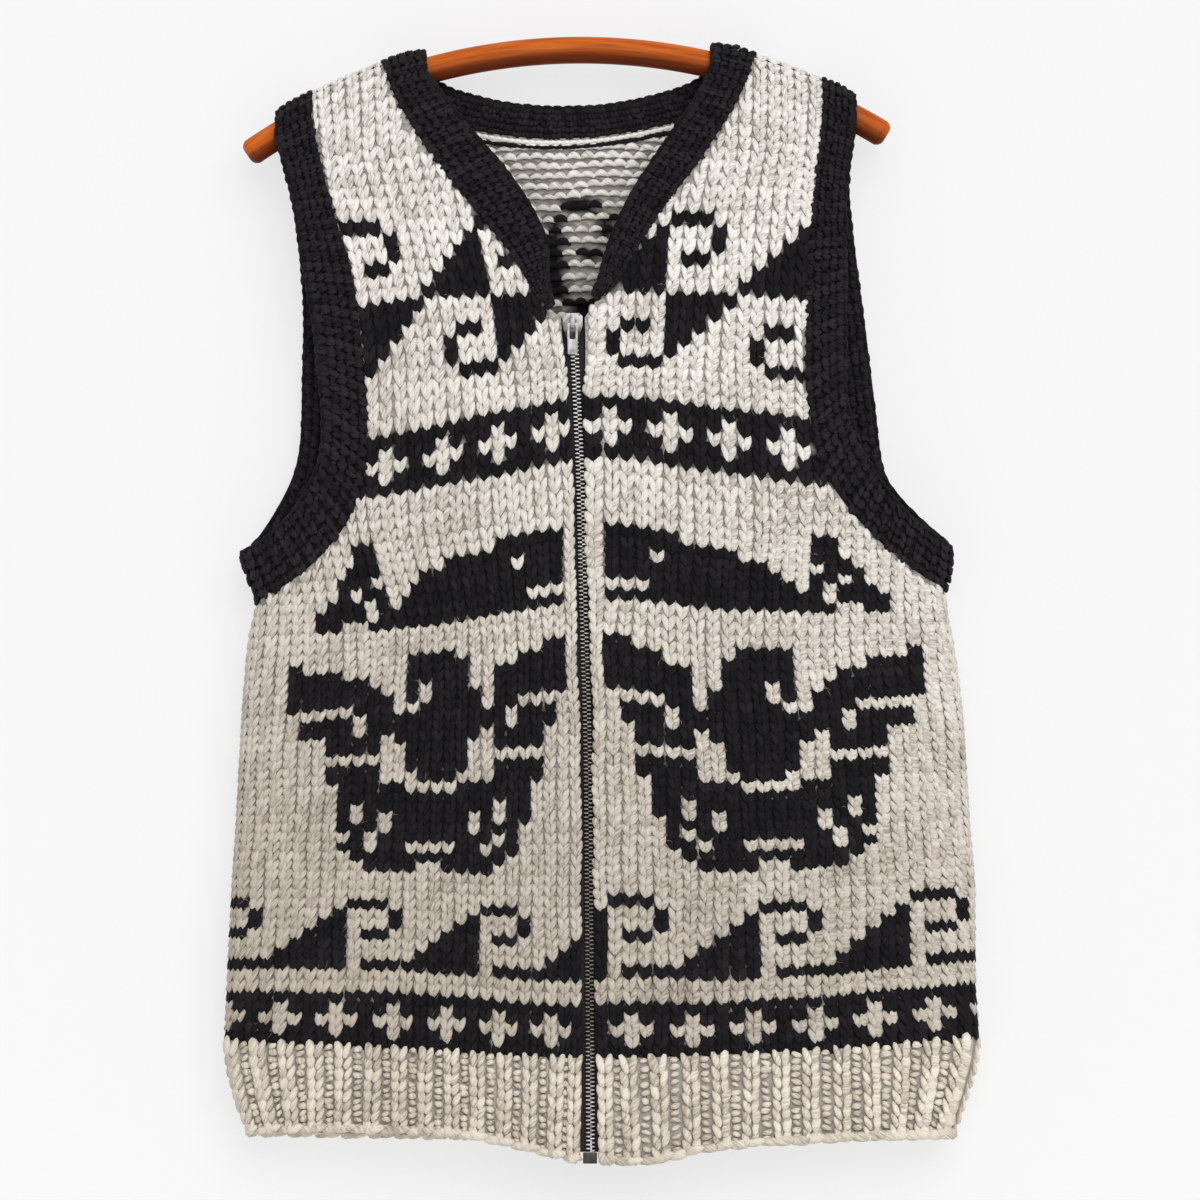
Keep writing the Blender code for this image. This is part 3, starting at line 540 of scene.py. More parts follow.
def cloth_point(s, h, facing):
    """Outer face of the cloth. Facing is -1 on the front and 1 on the back."""
    s, h = np.broadcast_arrays(np.asarray(s, float), np.asarray(h, float))
    middle = dowel_z(s)
    drop = np.maximum(h - WRAP_LENGTH, 0.0)
    z = middle - drop
    radius = fold_radius(drop)
    left_turn = side_fold["left"](z) + radius
    right_turn = side_fold["right"](z) - radius
    past_left = np.maximum(0.0, (left_turn - s) / radius)
    past_right = np.maximum(0.0, (s - right_turn) / radius)
    x = np.where(past_left > 0, left_turn - radius * np.sin(past_left), s)
    x = np.where(past_right > 0, right_turn + radius * np.sin(past_right), x)
    depth = radius * np.cos(past_left + past_right)
    y = facing * (depth + bulge(x, z, drop, facing))
    angle = h / WRAP_RADIUS
    rise = WRAP_RADIUS * np.cos(angle) * dowel_slope_stretch(s)
    over = h < WRAP_LENGTH
    x = np.where(over, s, x)
    y = np.where(over, facing * WRAP_RADIUS * np.sin(angle), y)
    z = np.where(over, middle + rise, z)
    return np.stack((x, y, z), -1)


def cloth_normal(s, h, facing):
    """Direction out of the cloth."""
    step = DIFFERENCE_STEP
    across = cloth_point(s + step, h, facing) - cloth_point(s - step, h, facing)
    down = cloth_point(s, h + step, facing) - cloth_point(s, h - step, facing)
    normal = np.cross(across, down) * facing
    return normal / np.linalg.norm(normal, axis=-1, keepdims=True)


def cloth_face(place, facing, lift=0.0):
    """Points above the cloth's outer face by lift, at places on the flat plane."""
    s, h = place[..., 0], place[..., 1]
    lift = np.asarray(lift, float)
    return cloth_point(s, h, facing) + cloth_normal(s, h, facing) * lift[..., None]


def at_height(s, z):
    """Place on the flat plane at s and height z."""
    return np.stack((s, WRAP_LENGTH + dowel_z(s) - z), -1)


def flat(x, z):
    """Place on the flat plane of a point that the front view shows at x and z."""
    for side, sign in (("left", -1), ("right", 1)):
        radius = fold_radius(dowel_z(x) - z)
        turn = side_fold[side](z) - sign * radius
        past = sign * (x - turn)
        if past > 0:
            x = turn + sign * radius * np.arcsin(min(1.0, past / radius))
    return at_height(x, z)


def fold_flat(side, z):
    """Place on the flat plane of the side fold at height z."""
    sign = SIGN[side]
    edge = side_fold[side](z)
    for _ in range(FOLD_SEARCH_STEPS):
        radius = fold_radius(dowel_z(edge) - z)
        edge = side_fold[side](z) + sign * radius * (pi / 2 - 1)
    return at_height(edge, z)


def resample(points, steps):
    """Places at even distances along a smooth curve through the given places."""
    points = [np.asarray(p, float) for p in points]
    ends = [points[0] * 2 - points[1]] + points + [points[-1] * 2 - points[-2]]
    fine = []
    for a, b, c, d in zip(ends, ends[1:], ends[2:], ends[3:]):
        for t in np.arange(CURVE_PARTS) / CURVE_PARTS:
            bend = (a * 2 - b * 5 + c * 4 - d) * t * t + (b * 3 - a - c * 3 + d) * t ** 3
            fine.append((b * 2 + (c - a) * t + bend) / 2)
    fine = np.array(fine + [points[-1]])
    reach = np.concatenate(([0.0], np.cumsum(np.linalg.norm(np.diff(fine, axis=0), axis=1))))
    goals = np.linspace(0.0, reach[-1], steps + 1)
    return np.stack([np.interp(goals, reach, fine[:, i]) for i in (0, 1)], -1)


def shoulder_rows(side, edge, steps=4):
    """Places from just above the dowel's middle to the shoulder seam on top of it."""
    t = np.arange(1, steps + 1) / steps
    x = mix(SHOULDER[side][edge], SHOULDER_TOP[side][edge], t)
    return np.stack((x, WRAP_LENGTH * (1 - t)), -1)


def dowel_row(side, edge):
    return np.array((SHOULDER[side][edge], WRAP_LENGTH), float)


def armhole_points(rows, side, edge):
    points = [fold_flat(side, UNDERARM[side][edge + "_z"])]
    points += [flat(row[edge + "_x"], row[edge + "_z"]) for row in rows]
    return points + [dowel_row(side, "arm_" + edge)]


def neck_points(side, edge):
    points = [flat(row[edge + "_x"], row[edge + "_z"]) for row in FRONT_NECK[side]]
    return points + [dowel_row(side, "neck_" + edge)]


def back_neck_points(edge):
    points = [dowel_row("left", "neck_" + edge)]
    points += [flat(row[edge + "_x"], row[edge + "_z"]) for row in BACK_NECK]
    return points + [dowel_row("right", "neck_" + edge)]


def body_side(side, low, high, steps):
    return fold_flat(side, np.linspace(low, high, steps + 1))


def zip_half_gap(z):
    """Distance from the zip's middle to the edge of the cloth."""
    gap = mix(ZIP_EDGE, ZIP_EDGE_AT_SLIDER, smooth((z - SLIDER_SPREAD_FOOT) / SPREAD_LENGTH))
    return mix(gap, ZIP_EDGE_AT_HEM, smooth((HEM_SPREAD_TOP - z) / SPREAD_LENGTH))


def zip_edge(side, z):
    """Place across the garment of the cloth's edge beside the zip."""
    return zip_x(z) + SIGN[side] * zip_half_gap(z)


def zip_side(side, low, high, steps):
    z = np.linspace(low, high, steps + 1)
    return at_height(zip_edge(side, z), z)


# Knitting on the cloth
def wale_lines(panel):
    """Curves of the outer edge, the armhole's wale and the inner edge of a panel by height."""
    if panel == "back":
        return None
    rows = []
    share = ARMHOLE_WALE[panel] / (WALES[panel] - 1)
    share = share + SIDE_WIDENING[panel] * share * (1 - share)
    for side_row in SIDES[:8]:
        z = float(side_row["z"])
        outer = float(fold_flat(panel, max(z, RIB_LEAN_TOP))[0])
        inner = float(zip_edge(panel, z))
        near_zip = inner + SIGN[panel] * SELVEDGE[panel][0]
        rows.append({"z": z, "outer": outer, "arm": mix(outer, near_zip, share), "inner": inner})
    rows += UPPER_WALES[panel]
    return {name: Curve(rows, "z", name) for name in ("outer", "arm", "inner")}


# Below this height only the wales next to the side fold lean with it
RIB_LEAN_TOP = -672.0
RIB_LEAN_WALES = 7.0

wales = {panel: wale_lines(panel) for panel in ("left", "right")}

# How far the stitches reach over the zip's tape past the cloth's edge
ZIP_OVERHANG = {"left": 1.6, "right": -3.2}
OVERHANG_TOP = -208.0
OVERHANG_FADE = 18.0
RIB_OVERHANG = 0.3
RIB_OVERHANG_TOP = -668.0
RIB_OVERHANG_FADE = 22.0


def overhang(panel, z):
    """The edge stitches lean over the tape, except beside the slider, above it and in the rib."""
    body = smooth((OVERHANG_TOP - z) / OVERHANG_FADE)
    in_rib = smooth((RIB_OVERHANG_TOP - z) / RIB_OVERHANG_FADE)
    return ZIP_OVERHANG[panel] * mix(body, RIB_OVERHANG, in_rib)


def selvedge(panel, z):
    """Width of the wale beside the zip at height z."""
    low, high = SELVEDGE[panel]
    return mix(low, high, smooth((z - SELVEDGE_RISE[0]) / SELVEDGE_RISE[1]))


def wale_place(panel, k, z):
    """Place across the garment of wale k at height z; k counts from left to right."""
    if panel == "back":
        low = np.minimum(z, UNDERARM["left"]["seam_z"])
        left, right = fold_flat("left", low)[..., 0], fold_flat("right", low)[..., 0]
        return mix(left, right, k / WALES["back"])
    lines = wales[panel]
    outer, arm, inner = (lines[name](z) for name in ("outer", "arm", "inner"))
    inner = inner + overhang(panel, z)
    share, count = ARMHOLE_WALE[panel], WALES[panel]
    from_outer = k if panel == "left" else count - k
    near_zip = inner + SIGN[panel] * selvedge(panel, z)
    place = mix(outer, arm, from_outer / share)
    middle = mix(arm, near_zip, (from_outer - share) / (count - 1 - share))
    edge = mix(near_zip, inner, from_outer - (count - 1))
    place = np.where(from_outer > share, middle, place)
    place = np.where(from_outer > count - 1, edge, place)
    low_fold = fold_flat(panel, np.minimum(z, RIB_LEAN_TOP))
    lean = low_fold[..., 0] - fold_flat(panel, RIB_LEAN_TOP)[..., 0]
    return place + lean * np.clip(1 - from_outer / RIB_LEAN_WALES, 0, 1)


def row_spline(r, s):
    """Height of row r at s, on smooth curves through the six places of the row table."""
    at = np.array(list(ROW_PLACES.values()), float)
    values = [curve(r) for curve in row_curves]
    slopes = [(values[1] - values[0]) / (at[1] - at[0])]
    for i in range(1, len(at) - 1):
        slopes.append((values[i + 1] - values[i - 1]) / (at[i + 1] - at[i - 1]))
    slopes.append((values[-1] - values[-2]) / (at[-1] - at[-2]))
    s = np.clip(s, at[0], at[-1])
    result = np.zeros(np.broadcast(r, s).shape)
    for i in range(len(at) - 1):
        span = at[i + 1] - at[i]
        height = hermite(values[i], values[i + 1], slopes[i], slopes[i + 1], span, (s - at[i]) / span)
        result = np.where((s >= at[i]) & (s <= at[i + 1]), height, result)
    return result


def row_height(panel, r, s):
    """Height, on the unrolled cloth, of row r at s."""
    facing = FACING[panel]
    r, s = np.broadcast_arrays(np.asarray(r, float), np.asarray(s, float))
    last = ROW_LINES[-1]["row"]
    body = np.clip(r, 0, last)
    if panel == "back":
        left, right = row_curves[0](body), row_curves[-1](body)
        chest = smooth((body - BACK_CHEST_ROW) / BACK_CHEST_ROWS)
        middle = (left + right) / 2 + mix(*BACK_ROW_BOW, chest)
        ends = (ROW_PLACES["left_fold"], ROW_PLACES["right_fold"])
        across = np.clip((s - ends[0]) / (ends[1] - ends[0]), 0, 1)
        height = mix(left, right, across) + (middle - (left + right) / 2) * np.sin(pi * across)
    else:
        height = row_spline(body, s)
    seam = WRAP_LENGTH + dowel_z(s)
    rib = rib_top_z[facing](s)
    start = row_spline(0.0, s) if panel != "back" else rib
    height = height + (rib - start) * np.clip(1 - body / RIB_LINE_ROWS, 0, 1)
    top = np.clip((r - last) / (BODY_ROWS - last), 0, None)
    height = mix(height, seam, top)
    below = np.clip(-r / RIB_ROWS, 0, None)
    return mix(height, hem_z[facing](s), below)


def knit_place(panel, k, r):
    """Place on the flat plane of a point at wale k and row r."""
    k, r = np.broadcast_arrays(np.asarray(k, float), np.asarray(r, float))
    s = np.full(k.shape, PANEL_MIDDLE[panel])
    for _ in range(KNIT_SEARCH_STEPS):
        z = row_height(panel, r, s)
        s = wale_place(panel, k, z)
    return at_height(s, z)


def knit_count(panel, place):
    """Wale and row at places on the flat plane."""
    s, h = place[..., 0].ravel(), place[..., 1].ravel()
    z = WRAP_LENGTH + dowel_z(s) - h
    steps = np.arange(WALES[panel] + 1.0)
    lines = wale_place(panel, steps[None, :], z[:, None])
    k = np.array([np.interp(a, line, steps) for a, line in zip(s, lines)])
    rows = np.arange(BODY_ROWS + 1.0)
    heights = row_height(panel, rows[None, :], s[:, None])
    r = np.array([np.interp(a, line, rows) for a, line in zip(z, heights)])
    return k.reshape(place.shape[:-1]), r.reshape(place.shape[:-1])


# Charts
def stamp(chart, motif, row, wale, mirrored=False):
    """Works a motif into a chart with its lowest row and left wale at the given place."""
    for up, line in enumerate(reversed(motif)):
        for along, mark in enumerate(reversed(line) if mirrored else line):
            k, r = wale + along, row + up
            if 0 <= k < chart.shape[1] and 0 <= r < chart.shape[0]:
                chart[r, k] = mark == "#"


def turned(motif):
    """The same motif turned upside down."""
    return [line[::-1] for line in reversed(motif)]


def repeat(chart, motif, row, first):
    """Works a motif side by side across a chart."""
    width = len(motif[0])
    for wale in range(first - 2 * width, chart.shape[1], width):
        stamp(chart, motif, row, wale)


def body_chart(panel):
    """Which stitches of a panel are dark, by row and wale."""
    chart = np.zeros((BODY_ROWS + 1, WALES[panel]), bool)
    crosses, waves, yoke = REPEAT_STARTS[panel]
    for row, first in zip(CROSS_ROWS, (crosses, 0)):
        chart[row:row + CROSS_BAND] = True
        repeat(chart, CROSS, row + 1, first)
    repeat(chart, WAVE, WAVE_ROW, waves)
    repeat(chart, YOKE_WAVE, YOKE_ROW, yoke)
    repeat(chart, turned(YOKE_WAVE), YOKE_ROW - len(YOKE_WAVE), yoke)
    chart[YOKE_ROW - len(YOKE_WAVE):YOKE_ROW + 3, YOKE_CLEAR[panel]] = False
    for row in ANIMALS:
        if row["panel"] == panel:
            stamp(chart, WHALE, WHALE_ROW, row["whale"], row["mirrored"])
            stamp(chart, BIRD, BIRD_ROW, row["bird"], row["mirrored"])
    return chart


charts = {panel: body_chart(panel) for panel in ("left", "right", "back")}

# Outlines of the panels on the flat plane
OUTLINE_STEPS = 60
BACK_NECK_STEPS = 24
FRONT_COLUMNS = 31
BACK_SHOULDER_COLUMNS = 6
BELOW_RIB = 90.0


def front_edges(side, steps=OUTLINE_STEPS):
    """Outer and inner edges of one front from the rib to the shoulder seam."""
    outer_x = side_fold[side](RIB_TOP[0]["z"])
    low = float(rib_top_z[-1](outer_x))
    rise = steps // 3
    outer = body_side(side, low, UNDERARM[side]["seam_z"], rise)
    arm = resample(armhole_points(FRONT_ARMHOLE[side], side, "seam"), steps)
    outer = np.concatenate((outer, arm[1:], shoulder_rows(side, "arm_seam")))
    neck = resample(neck_points(side, "seam"), steps // 2)
    zip_steps = len(outer) - 4 - len(neck) - 1
    inner = zip_side(side, float(rib_top_z[-1](ZIP_LINE[0]["x"])), ZIP_CORNER, zip_steps)
    inner = np.concatenate((inner, neck, shoulder_rows(side, "neck_seam")))
    return outer, inner


def back_edges(steps=OUTLINE_STEPS):
    edges = {}
    for side in ("left", "right"):
        low = float(rib_top_z[1](side_fold[side](RIB_TOP[0]["z"])))
        edge = body_side(side, low, UNDERARM[side]["seam_z"], steps // 3)
        arm = resample(armhole_points(BACK_ARMHOLE[side], side, "seam"), steps)
        edges[side] = np.concatenate((edge, arm[1:], shoulder_rows(side, "arm_seam")))
    neck = resample(back_neck_points("seam"), BACK_NECK_STEPS)
    left = shoulder_rows("left", "neck_seam")[::-1]
    right = shoulder_rows("right", "neck_seam")
    return edges["left"], edges["right"], np.concatenate((left, neck, right))


def inside(place, outline):
    """Which places lie inside a closed outline on the flat plane."""
    x, y = place[..., 0], place[..., 1]
    hit = np.zeros(x.shape, bool)
    for (x0, y0), (x1, y1) in zip(outline, np.roll(outline, -1, axis=0)):
        if y0 == y1:
            continue
        crosses = ((y0 > y) != (y1 > y)) & (x < (x1 - x0) * (y - y0) / (y1 - y0) + x0)
        hit ^= crosses
    return hit


def panel_outline(panel):
    """Closed outline of a panel, carried on below the rib line."""
    below = np.array((0.0, BELOW_RIB))
    if panel == "back":
        left, right, neck = back_edges()
        return np.concatenate((left, neck, right[::-1], right[:1] + below, left[:1] + below))
    outer, inner = front_edges(panel)
    inner[:, 0] += overhang(panel, WRAP_LENGTH + dowel_z(inner[:, 0]) - inner[:, 1])
    return np.concatenate((outer, inner[::-1], inner[:1] + below, outer[:1] + below))


def new_object(name, data):
    """Object that holds the data, in the scene."""
    obj = bpy.data.objects.new(name, data)
    bpy.context.scene.collection.objects.link(obj)
    return obj


# Yarn: every visible loop leg is a closed leaf of yarn
LEAF_SECTION = table(
    "across out",
    (1.0, -0.15),
    (0.66, 0.74),
    (-0.66, 0.74),
    (-1.0, -0.15),
    (0.0, -0.72),
)


class Leaf:
    """A closed leaf of yarn: points along, across and out, its faces and their places round it."""

    def __init__(self, *rings):
        sides = len(LEAF_SECTION)
        points = [(0.0, 0.0, 0.0)]
        for along, width in rings:
            for corner in LEAF_SECTION:
                points.append((along, corner["across"] * width, corner["out"] * width))
        points.append((1.0, 0.0, 0.0))
        last = len(points) - 1
        top = last - sides
        self.points, self.faces, self.rounds = np.array(points), [], []
        for i in range(sides):
            n = (i + 1) % sides
            self.add((0, 1 + n, 1 + i), (i + 0.5, i + 1, i))
            self.add((last, top + i, top + n), (i + 0.5, i, i + 1))
            for j in range(len(rings) - 1):
                a, b = 1 + j * sides, 1 + (j + 1) * sides
                self.add((a + i, a + n, b + n, b + i), (i, i + 1, i + 1, i))

    def add(self, face, around):
        self.faces.append(face)
        self.rounds.append([a / len(LEAF_SECTION) for a in around])

    def volumes(self, points):
        """Signed volume of each leaf, which tells whether its faces look outwards."""
        middle = points.mean(axis=1)
        total = np.zeros(len(points))
        for face in self.faces:
            for b, c in zip(face[1:], face[2:]):
                first, second, third = (points[:, i] - middle for i in (face[0], b, c))
                total += np.einsum("ij,ij->i", first, np.cross(second, third))
        return total


STITCH_LEAF = Leaf((0.09, 0.32), (0.34, 0.84), (0.66, 1.02), (0.90, 0.58))
BACK_LEAF = Leaf((0.14, 0.48), (0.52, 1.04), (0.86, 0.72))
PLUMP_LEAF = Leaf((0.09, 0.58), (0.36, 1.0), (0.66, 0.96), (0.90, 0.56))
SLIM_LEAF = Leaf((0.14, 0.72), (0.50, 1.04), (0.86, 0.72))
FIBRE_LEAF = Leaf((0.45, 1.0))
ARCH_LEAF = Leaf((0.08, 0.62), (0.28, 0.94), (0.50, 1.04), (0.72, 0.94), (0.92, 0.62))


class Yarn:
    """Collects leaves of yarn on the cloth and writes them as meshes."""

    def __init__(self, name, leaf):
        self.name, self.leaf = name, leaf
        self.points, self.flips = [], []
        self.lengths, self.tones, self.darks = [], [], []

    def lay(self, start, end, width, thick, low, high, facing, dark, tone, bend=0.0, inner=False,
            belly=0.5):
        """Leaves from start to end on the flat plane; low and high are their lifts at the ends."""
        count = len(start)
        full = lambda value: np.broadcast_to(np.asarray(value, float), (count,))
        width, thick, low, high, bend = (full(v)[:, None] for v in (width, thick, low, high, bend))
        along, across, out = (self.leaf.points[None, :, i] for i in range(3))
        run = end - start
        length = np.linalg.norm(run, axis=1, keepdims=True)
        side = np.stack((-run[:, 1], run[:, 0]), -1) / length
        shift = across * width + bend * 4 * along * (1 - along)
        place = start[:, None] + run[:, None] * along[..., None] + side[:, None] * shift[..., None]
        lift = mix(low, high, along) + out * thick + full(belly)[:, None] * np.sin(pi * along)
        if inner:
            lift = -CLOTH_WALL - lift
        points = cloth_face(place, facing, lift)
        self.points.append(points)
        self.flips.append(self.leaf.volumes(points) < 0)
        self.lengths.append(length[:, 0])
        self.tones.append(full(tone))
        self.darks.append(full(dark))

    def work(self, wools):
        """One piece of light yarn and one of black, whichever there are."""
        dark = np.concatenate(self.darks) > 0.5
        pieces = []
        for colour, chosen in (("light", ~dark), ("black", dark)):
            if np.any(chosen):
                name = self.name + "_" + colour
                pieces.append(self.mesh(name, wools[colour], "wool_" + colour, chosen))
        return pieces

    def mesh(self, name, material, slot, chosen):
        points = np.concatenate(self.points)[chosen]
        flips = np.concatenate(self.flips)[chosen]
        lengths = np.concatenate(self.lengths)[chosen]
        tone = np.concatenate(self.tones)[chosen]
        count, corners = points.shape[:2]
        sizes = [len(face) for face in self.leaf.faces]
        forward = np.array([i for face in self.leaf.faces for i in face])
        backward = np.array([i for face in self.leaf.faces for i in face[::-1]])
        around = np.array([a for places in self.leaf.rounds for a in places])
        around_back = np.array([a for places in self.leaf.rounds for a in places[::-1]])
        pick = np.where(flips[:, None], backward, forward)
        turn = np.where(flips[:, None], around_back, around)
        along = self.leaf.points[pick, 0] * lengths[:, None] / 10.0
        mesh = bpy.data.meshes.new(name)
        mesh.vertices.add(count * corners)
        mesh.vertices.foreach_set("co", (points * MM).astype(np.float32).ravel())
        mesh.loops.add(pick.size)
        vertex = pick + (np.arange(count) * corners)[:, None]
        mesh.loops.foreach_set("vertex_index", vertex.astype(np.int32).ravel())
        mesh.polygons.add(count * len(sizes))
        offsets = np.cumsum([0] + sizes[:-1])
        starts = (np.arange(count) * len(forward))[:, None] + offsets
        mesh.polygons.foreach_set("loop_start", starts.astype(np.int32).ravel())
        mesh.update(calc_edges=True)
        layer = mesh.uv_layers.new(name="yarn")
        layer.data.foreach_set("uv", np.stack((along, turn), -1).astype(np.float32).ravel())
        attribute = mesh.attributes.new("tone", "FLOAT", "POINT")
        attribute.data.foreach_set("value", np.repeat(tone, corners).astype(np.float32))
        mesh.materials.append(material)
        mesh.shade_smooth()
        obj = new_object(name, mesh)
        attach(obj, BODY)
        return obj


rng = np.random.default_rng(SEED)


def tones(count, rows=None):
    """Shade of each leaf between 0 and 1; neighbours along a row share part of it."""
    own = rng.random(count)
    if rows is None:
        return own
    return np.clip(0.65 * own + 0.35 * rows, 0, 1)


def uneven(amount, count):
    """Factors near 1 for the sizes of hand-made stitches."""
    return 1 + rng.normal(0, amount, count)


def wander(k, r, amount):
    """Slow unevenness of hand knitting, in stitches."""
    across = np.sin(k * 1.31 + r * 0.23) * 0.5 + np.sin(k * 0.47 - r * 0.61 + 1.7) * 0.5
    up = np.sin(k * 0.83 - r * 0.37 + 0.6) * 0.5 + np.sin(k * 0.29 + r * 0.91) * 0.5
    return across * amount, up * amount


# Where the legs of a stitch start and end, in stitches from its lower middle, and how wide
# they are: in the short rows of the body and in the tall rows of the yoke
LEGS = table(
    "row_height foot_k foot_r head_k head_r width",
    (6.4, 0.050, -0.42, 0.415, 1.14, 0.270),
    (8.6, 0.055, -0.38, 0.405, 1.04, 0.268),
)
LEG_PARTS = ("foot_k", "foot_r", "head_k", "head_r", "width")
leg = {name: Curve(LEGS, "row_height", name) for name in LEG_PARTS}


def stocking_stitches(yarn, panel, k, r, dark):
    """V-shaped stitches at wales k and rows r."""
    facing = FACING[panel]
    outline = panel_outline(panel)
    row_tone = (np.sin(r * 12.9898 + np.floor(k / 5) * 4.1) * 43758.5453) % 1.0
    dx, dy = wander(k, r, BODY_WANDER)
    corner = knit_place(panel, k, r)
    pitch = np.linalg.norm(knit_place(panel, k + 1, r) - corner, axis=1)
    height = np.linalg.norm(knit_place(panel, k, r + 1) - corner, axis=1)
    height = np.clip(height, LEGS[0]["row_height"], LEGS[-1]["row_height"])
    for sign in (-1, 1):
        jitter = rng.normal(0, 0.034, (4, len(k)))
        foot_k = k + 0.5 + sign * leg["foot_k"](height) + dx + jitter[0]
        foot_r = r + leg["foot_r"](height) + dy + jitter[1]
        head_k = k + 0.5 + sign * leg["head_k"](height) + dx + jitter[2]
        head_r = r + leg["head_r"](height) + dy + jitter[3]
        start = knit_place(panel, foot_k, foot_r)
        end = knit_place(panel, head_k, head_r)
        keep = inside(mix(start, end, 0.5), outline) & inside(mix(start, end, 0.75), outline)
        size = uneven(0.06, len(k))
        yarn.lay(
            start[keep], end[keep], (pitch * leg["width"](height) * size)[keep],
            (STITCH_ROUND * size)[keep], low=(-1.2 + rng.normal(0, 0.15, len(k)))[keep],
            high=-2.2, facing=facing, dark=dark[keep], tone=tones(len(k), row_tone)[keep],
            bend=sign * facing * 0.35, belly=0.6)


def panel_stitches(name, panel, wools, wale_range=None):
    """All the stitches of a panel that lie inside its outline."""
    first, last = wale_range or (0, WALES[panel])
    k, r = np.meshgrid(np.arange(first, last, dtype=float), np.arange(BODY_ROWS, dtype=float))
    k, r = k.ravel(), r.ravel()
    middle = knit_place(panel, k + 0.5, r + 0.5)
    keep = inside(middle, panel_outline(panel))
    k, r = k[keep], r[keep]
    dark = charts[panel][r.astype(int), k.astype(int)].astype(float)
    yarn = Yarn(name, BACK_LEAF if panel == "back" else STITCH_LEAF)
    stocking_stitches(yarn, panel, k, r, dark)
    return yarn.work(wools)


PURL_FROM = 57.0
PURL_STEP = 0.72
PURL_EDGE_WALES = 8

# Cords under the back neckband
NECK_CORDS = table(
    "across width lift dark tone",
    (-0.13, 1.7, 1.5, 0.0, 1.0),
    (-0.28, 1.3, 2.3, 1.0, 0.5),
)


def purl_side(yarn):
    """Reverse of the back's knitting where the neck opening shows it: rows of arched bumps."""
    rows = np.arange(PURL_FROM, BODY_ROWS, PURL_STEP)
    columns = np.arange(float(PURL_EDGE_WALES), WALES["back"] - PURL_EDGE_WALES)
    k, i = (a.ravel() for a in np.meshgrid(columns, np.arange(len(rows))))
    r = rows[i]
    k = k + np.where(i % 2 == 0, 0.5, 0.0)
    keep = inside(knit_place("back", k + 0.5, r + 0.6), panel_outline("back"))
    k, r = k[keep], r[keep]
    dark = charts["back"][r.astype(int), k.astype(int)].astype(float)
    dx, dy = wander(k, r, PURL_WANDER)
    jitter = rng.normal(0, 0.045, (4, len(k)))
    start = knit_place("back", k - 0.10 + dx + jitter[0], r + dy + jitter[1])
    end = knit_place("back", k + 1.10 + dx + jitter[2], r + dy + jitter[3])
    size = uneven(0.09, len(k))
    width, thick = STRANDS["purl arch"]
    yarn.lay(
        start, end, width * size, thick * size, low=0.5, high=0.5, facing=1, dark=dark,
        tone=0.35 + 0.65 * tones(len(k)), bend=-2.3 * size, inner=True, belly=0.8)


def neck_cords(yarn):
    """White binding cord under the back neckband, with a thin dark one below it."""
    strip = back_neck_strip()
    j = np.arange(2, strip.count - 2, 0.5)
    for cord in NECK_CORDS:
        start = strip.place(j - 0.12, np.full(len(j), cord["across"] - 0.012))
        end = strip.place(j + 0.62, np.full(len(j), cord["across"] + 0.012))
        yarn.lay(
            start, end, cord["width"], cord["width"], low=cord["lift"], high=cord["lift"],
            facing=1, dark=cord["dark"], tone=cord["tone"], inner=True, belly=0.1)


FIBRES = 2600
FIBRE_HALF_WIDTH = 0.085


def stray_fibres(yarn, panel, count):
    """Fine hairs that stand off the cloth and cross the edges of the colours."""
    facing = FACING[panel]
    k = rng.uniform(0, WALES[panel], count)
    r = rng.uniform(0, BODY_ROWS - 2, count)
    turn = rng.uniform(0, 2 * pi, count)
    reach = rng.uniform(2.5, 7.5, count)
    start = knit_place(panel, k, r)
    end = start + np.stack((np.cos(turn), np.sin(turn)), -1) * reach[:, None]
    outline = panel_outline(panel)
    keep = inside(start, outline) & inside(end, outline)
    dark = charts[panel][r.astype(int), k.astype(int)].astype(float)
    yarn.lay(
        start[keep], end[keep], FIBRE_HALF_WIDTH, FIBRE_HALF_WIDTH,
        low=rng.uniform(-0.2, 0.9, count)[keep],
        high=rng.uniform(0.8, 1.9, count)[keep], facing=facing, dark=dark[keep],
        tone=0.5, bend=rng.normal(0, 0.9, count)[keep], belly=0.5)


# Materials
TURN = 2 * pi


class Value:
    """A socket whose arithmetic adds Math nodes to its material."""

    def __init__(self, finish, socket):
        self.finish, self.socket = finish, socket

    def math(self, operation, first, second=None):
        values = {0: first} if second is None else {0: first, 1: second}
        return self.finish.node("ShaderNodeMath", {"operation": operation}, values)

    def __add__(self, other):
        return self.math("ADD", self, other)

    def __radd__(self, other):
        return self.math("ADD", other, self)

    def __sub__(self, other):
        return self.math("SUBTRACT", self, other)

    def __rsub__(self, other):
        return self.math("SUBTRACT", other, self)

    def __mul__(self, other):
        return self.math("MULTIPLY", self, other)

    def __rmul__(self, other):
        return self.math("MULTIPLY", other, self)

    def wave(self):
        """Sine of this value."""
        return self.math("SINE", self)


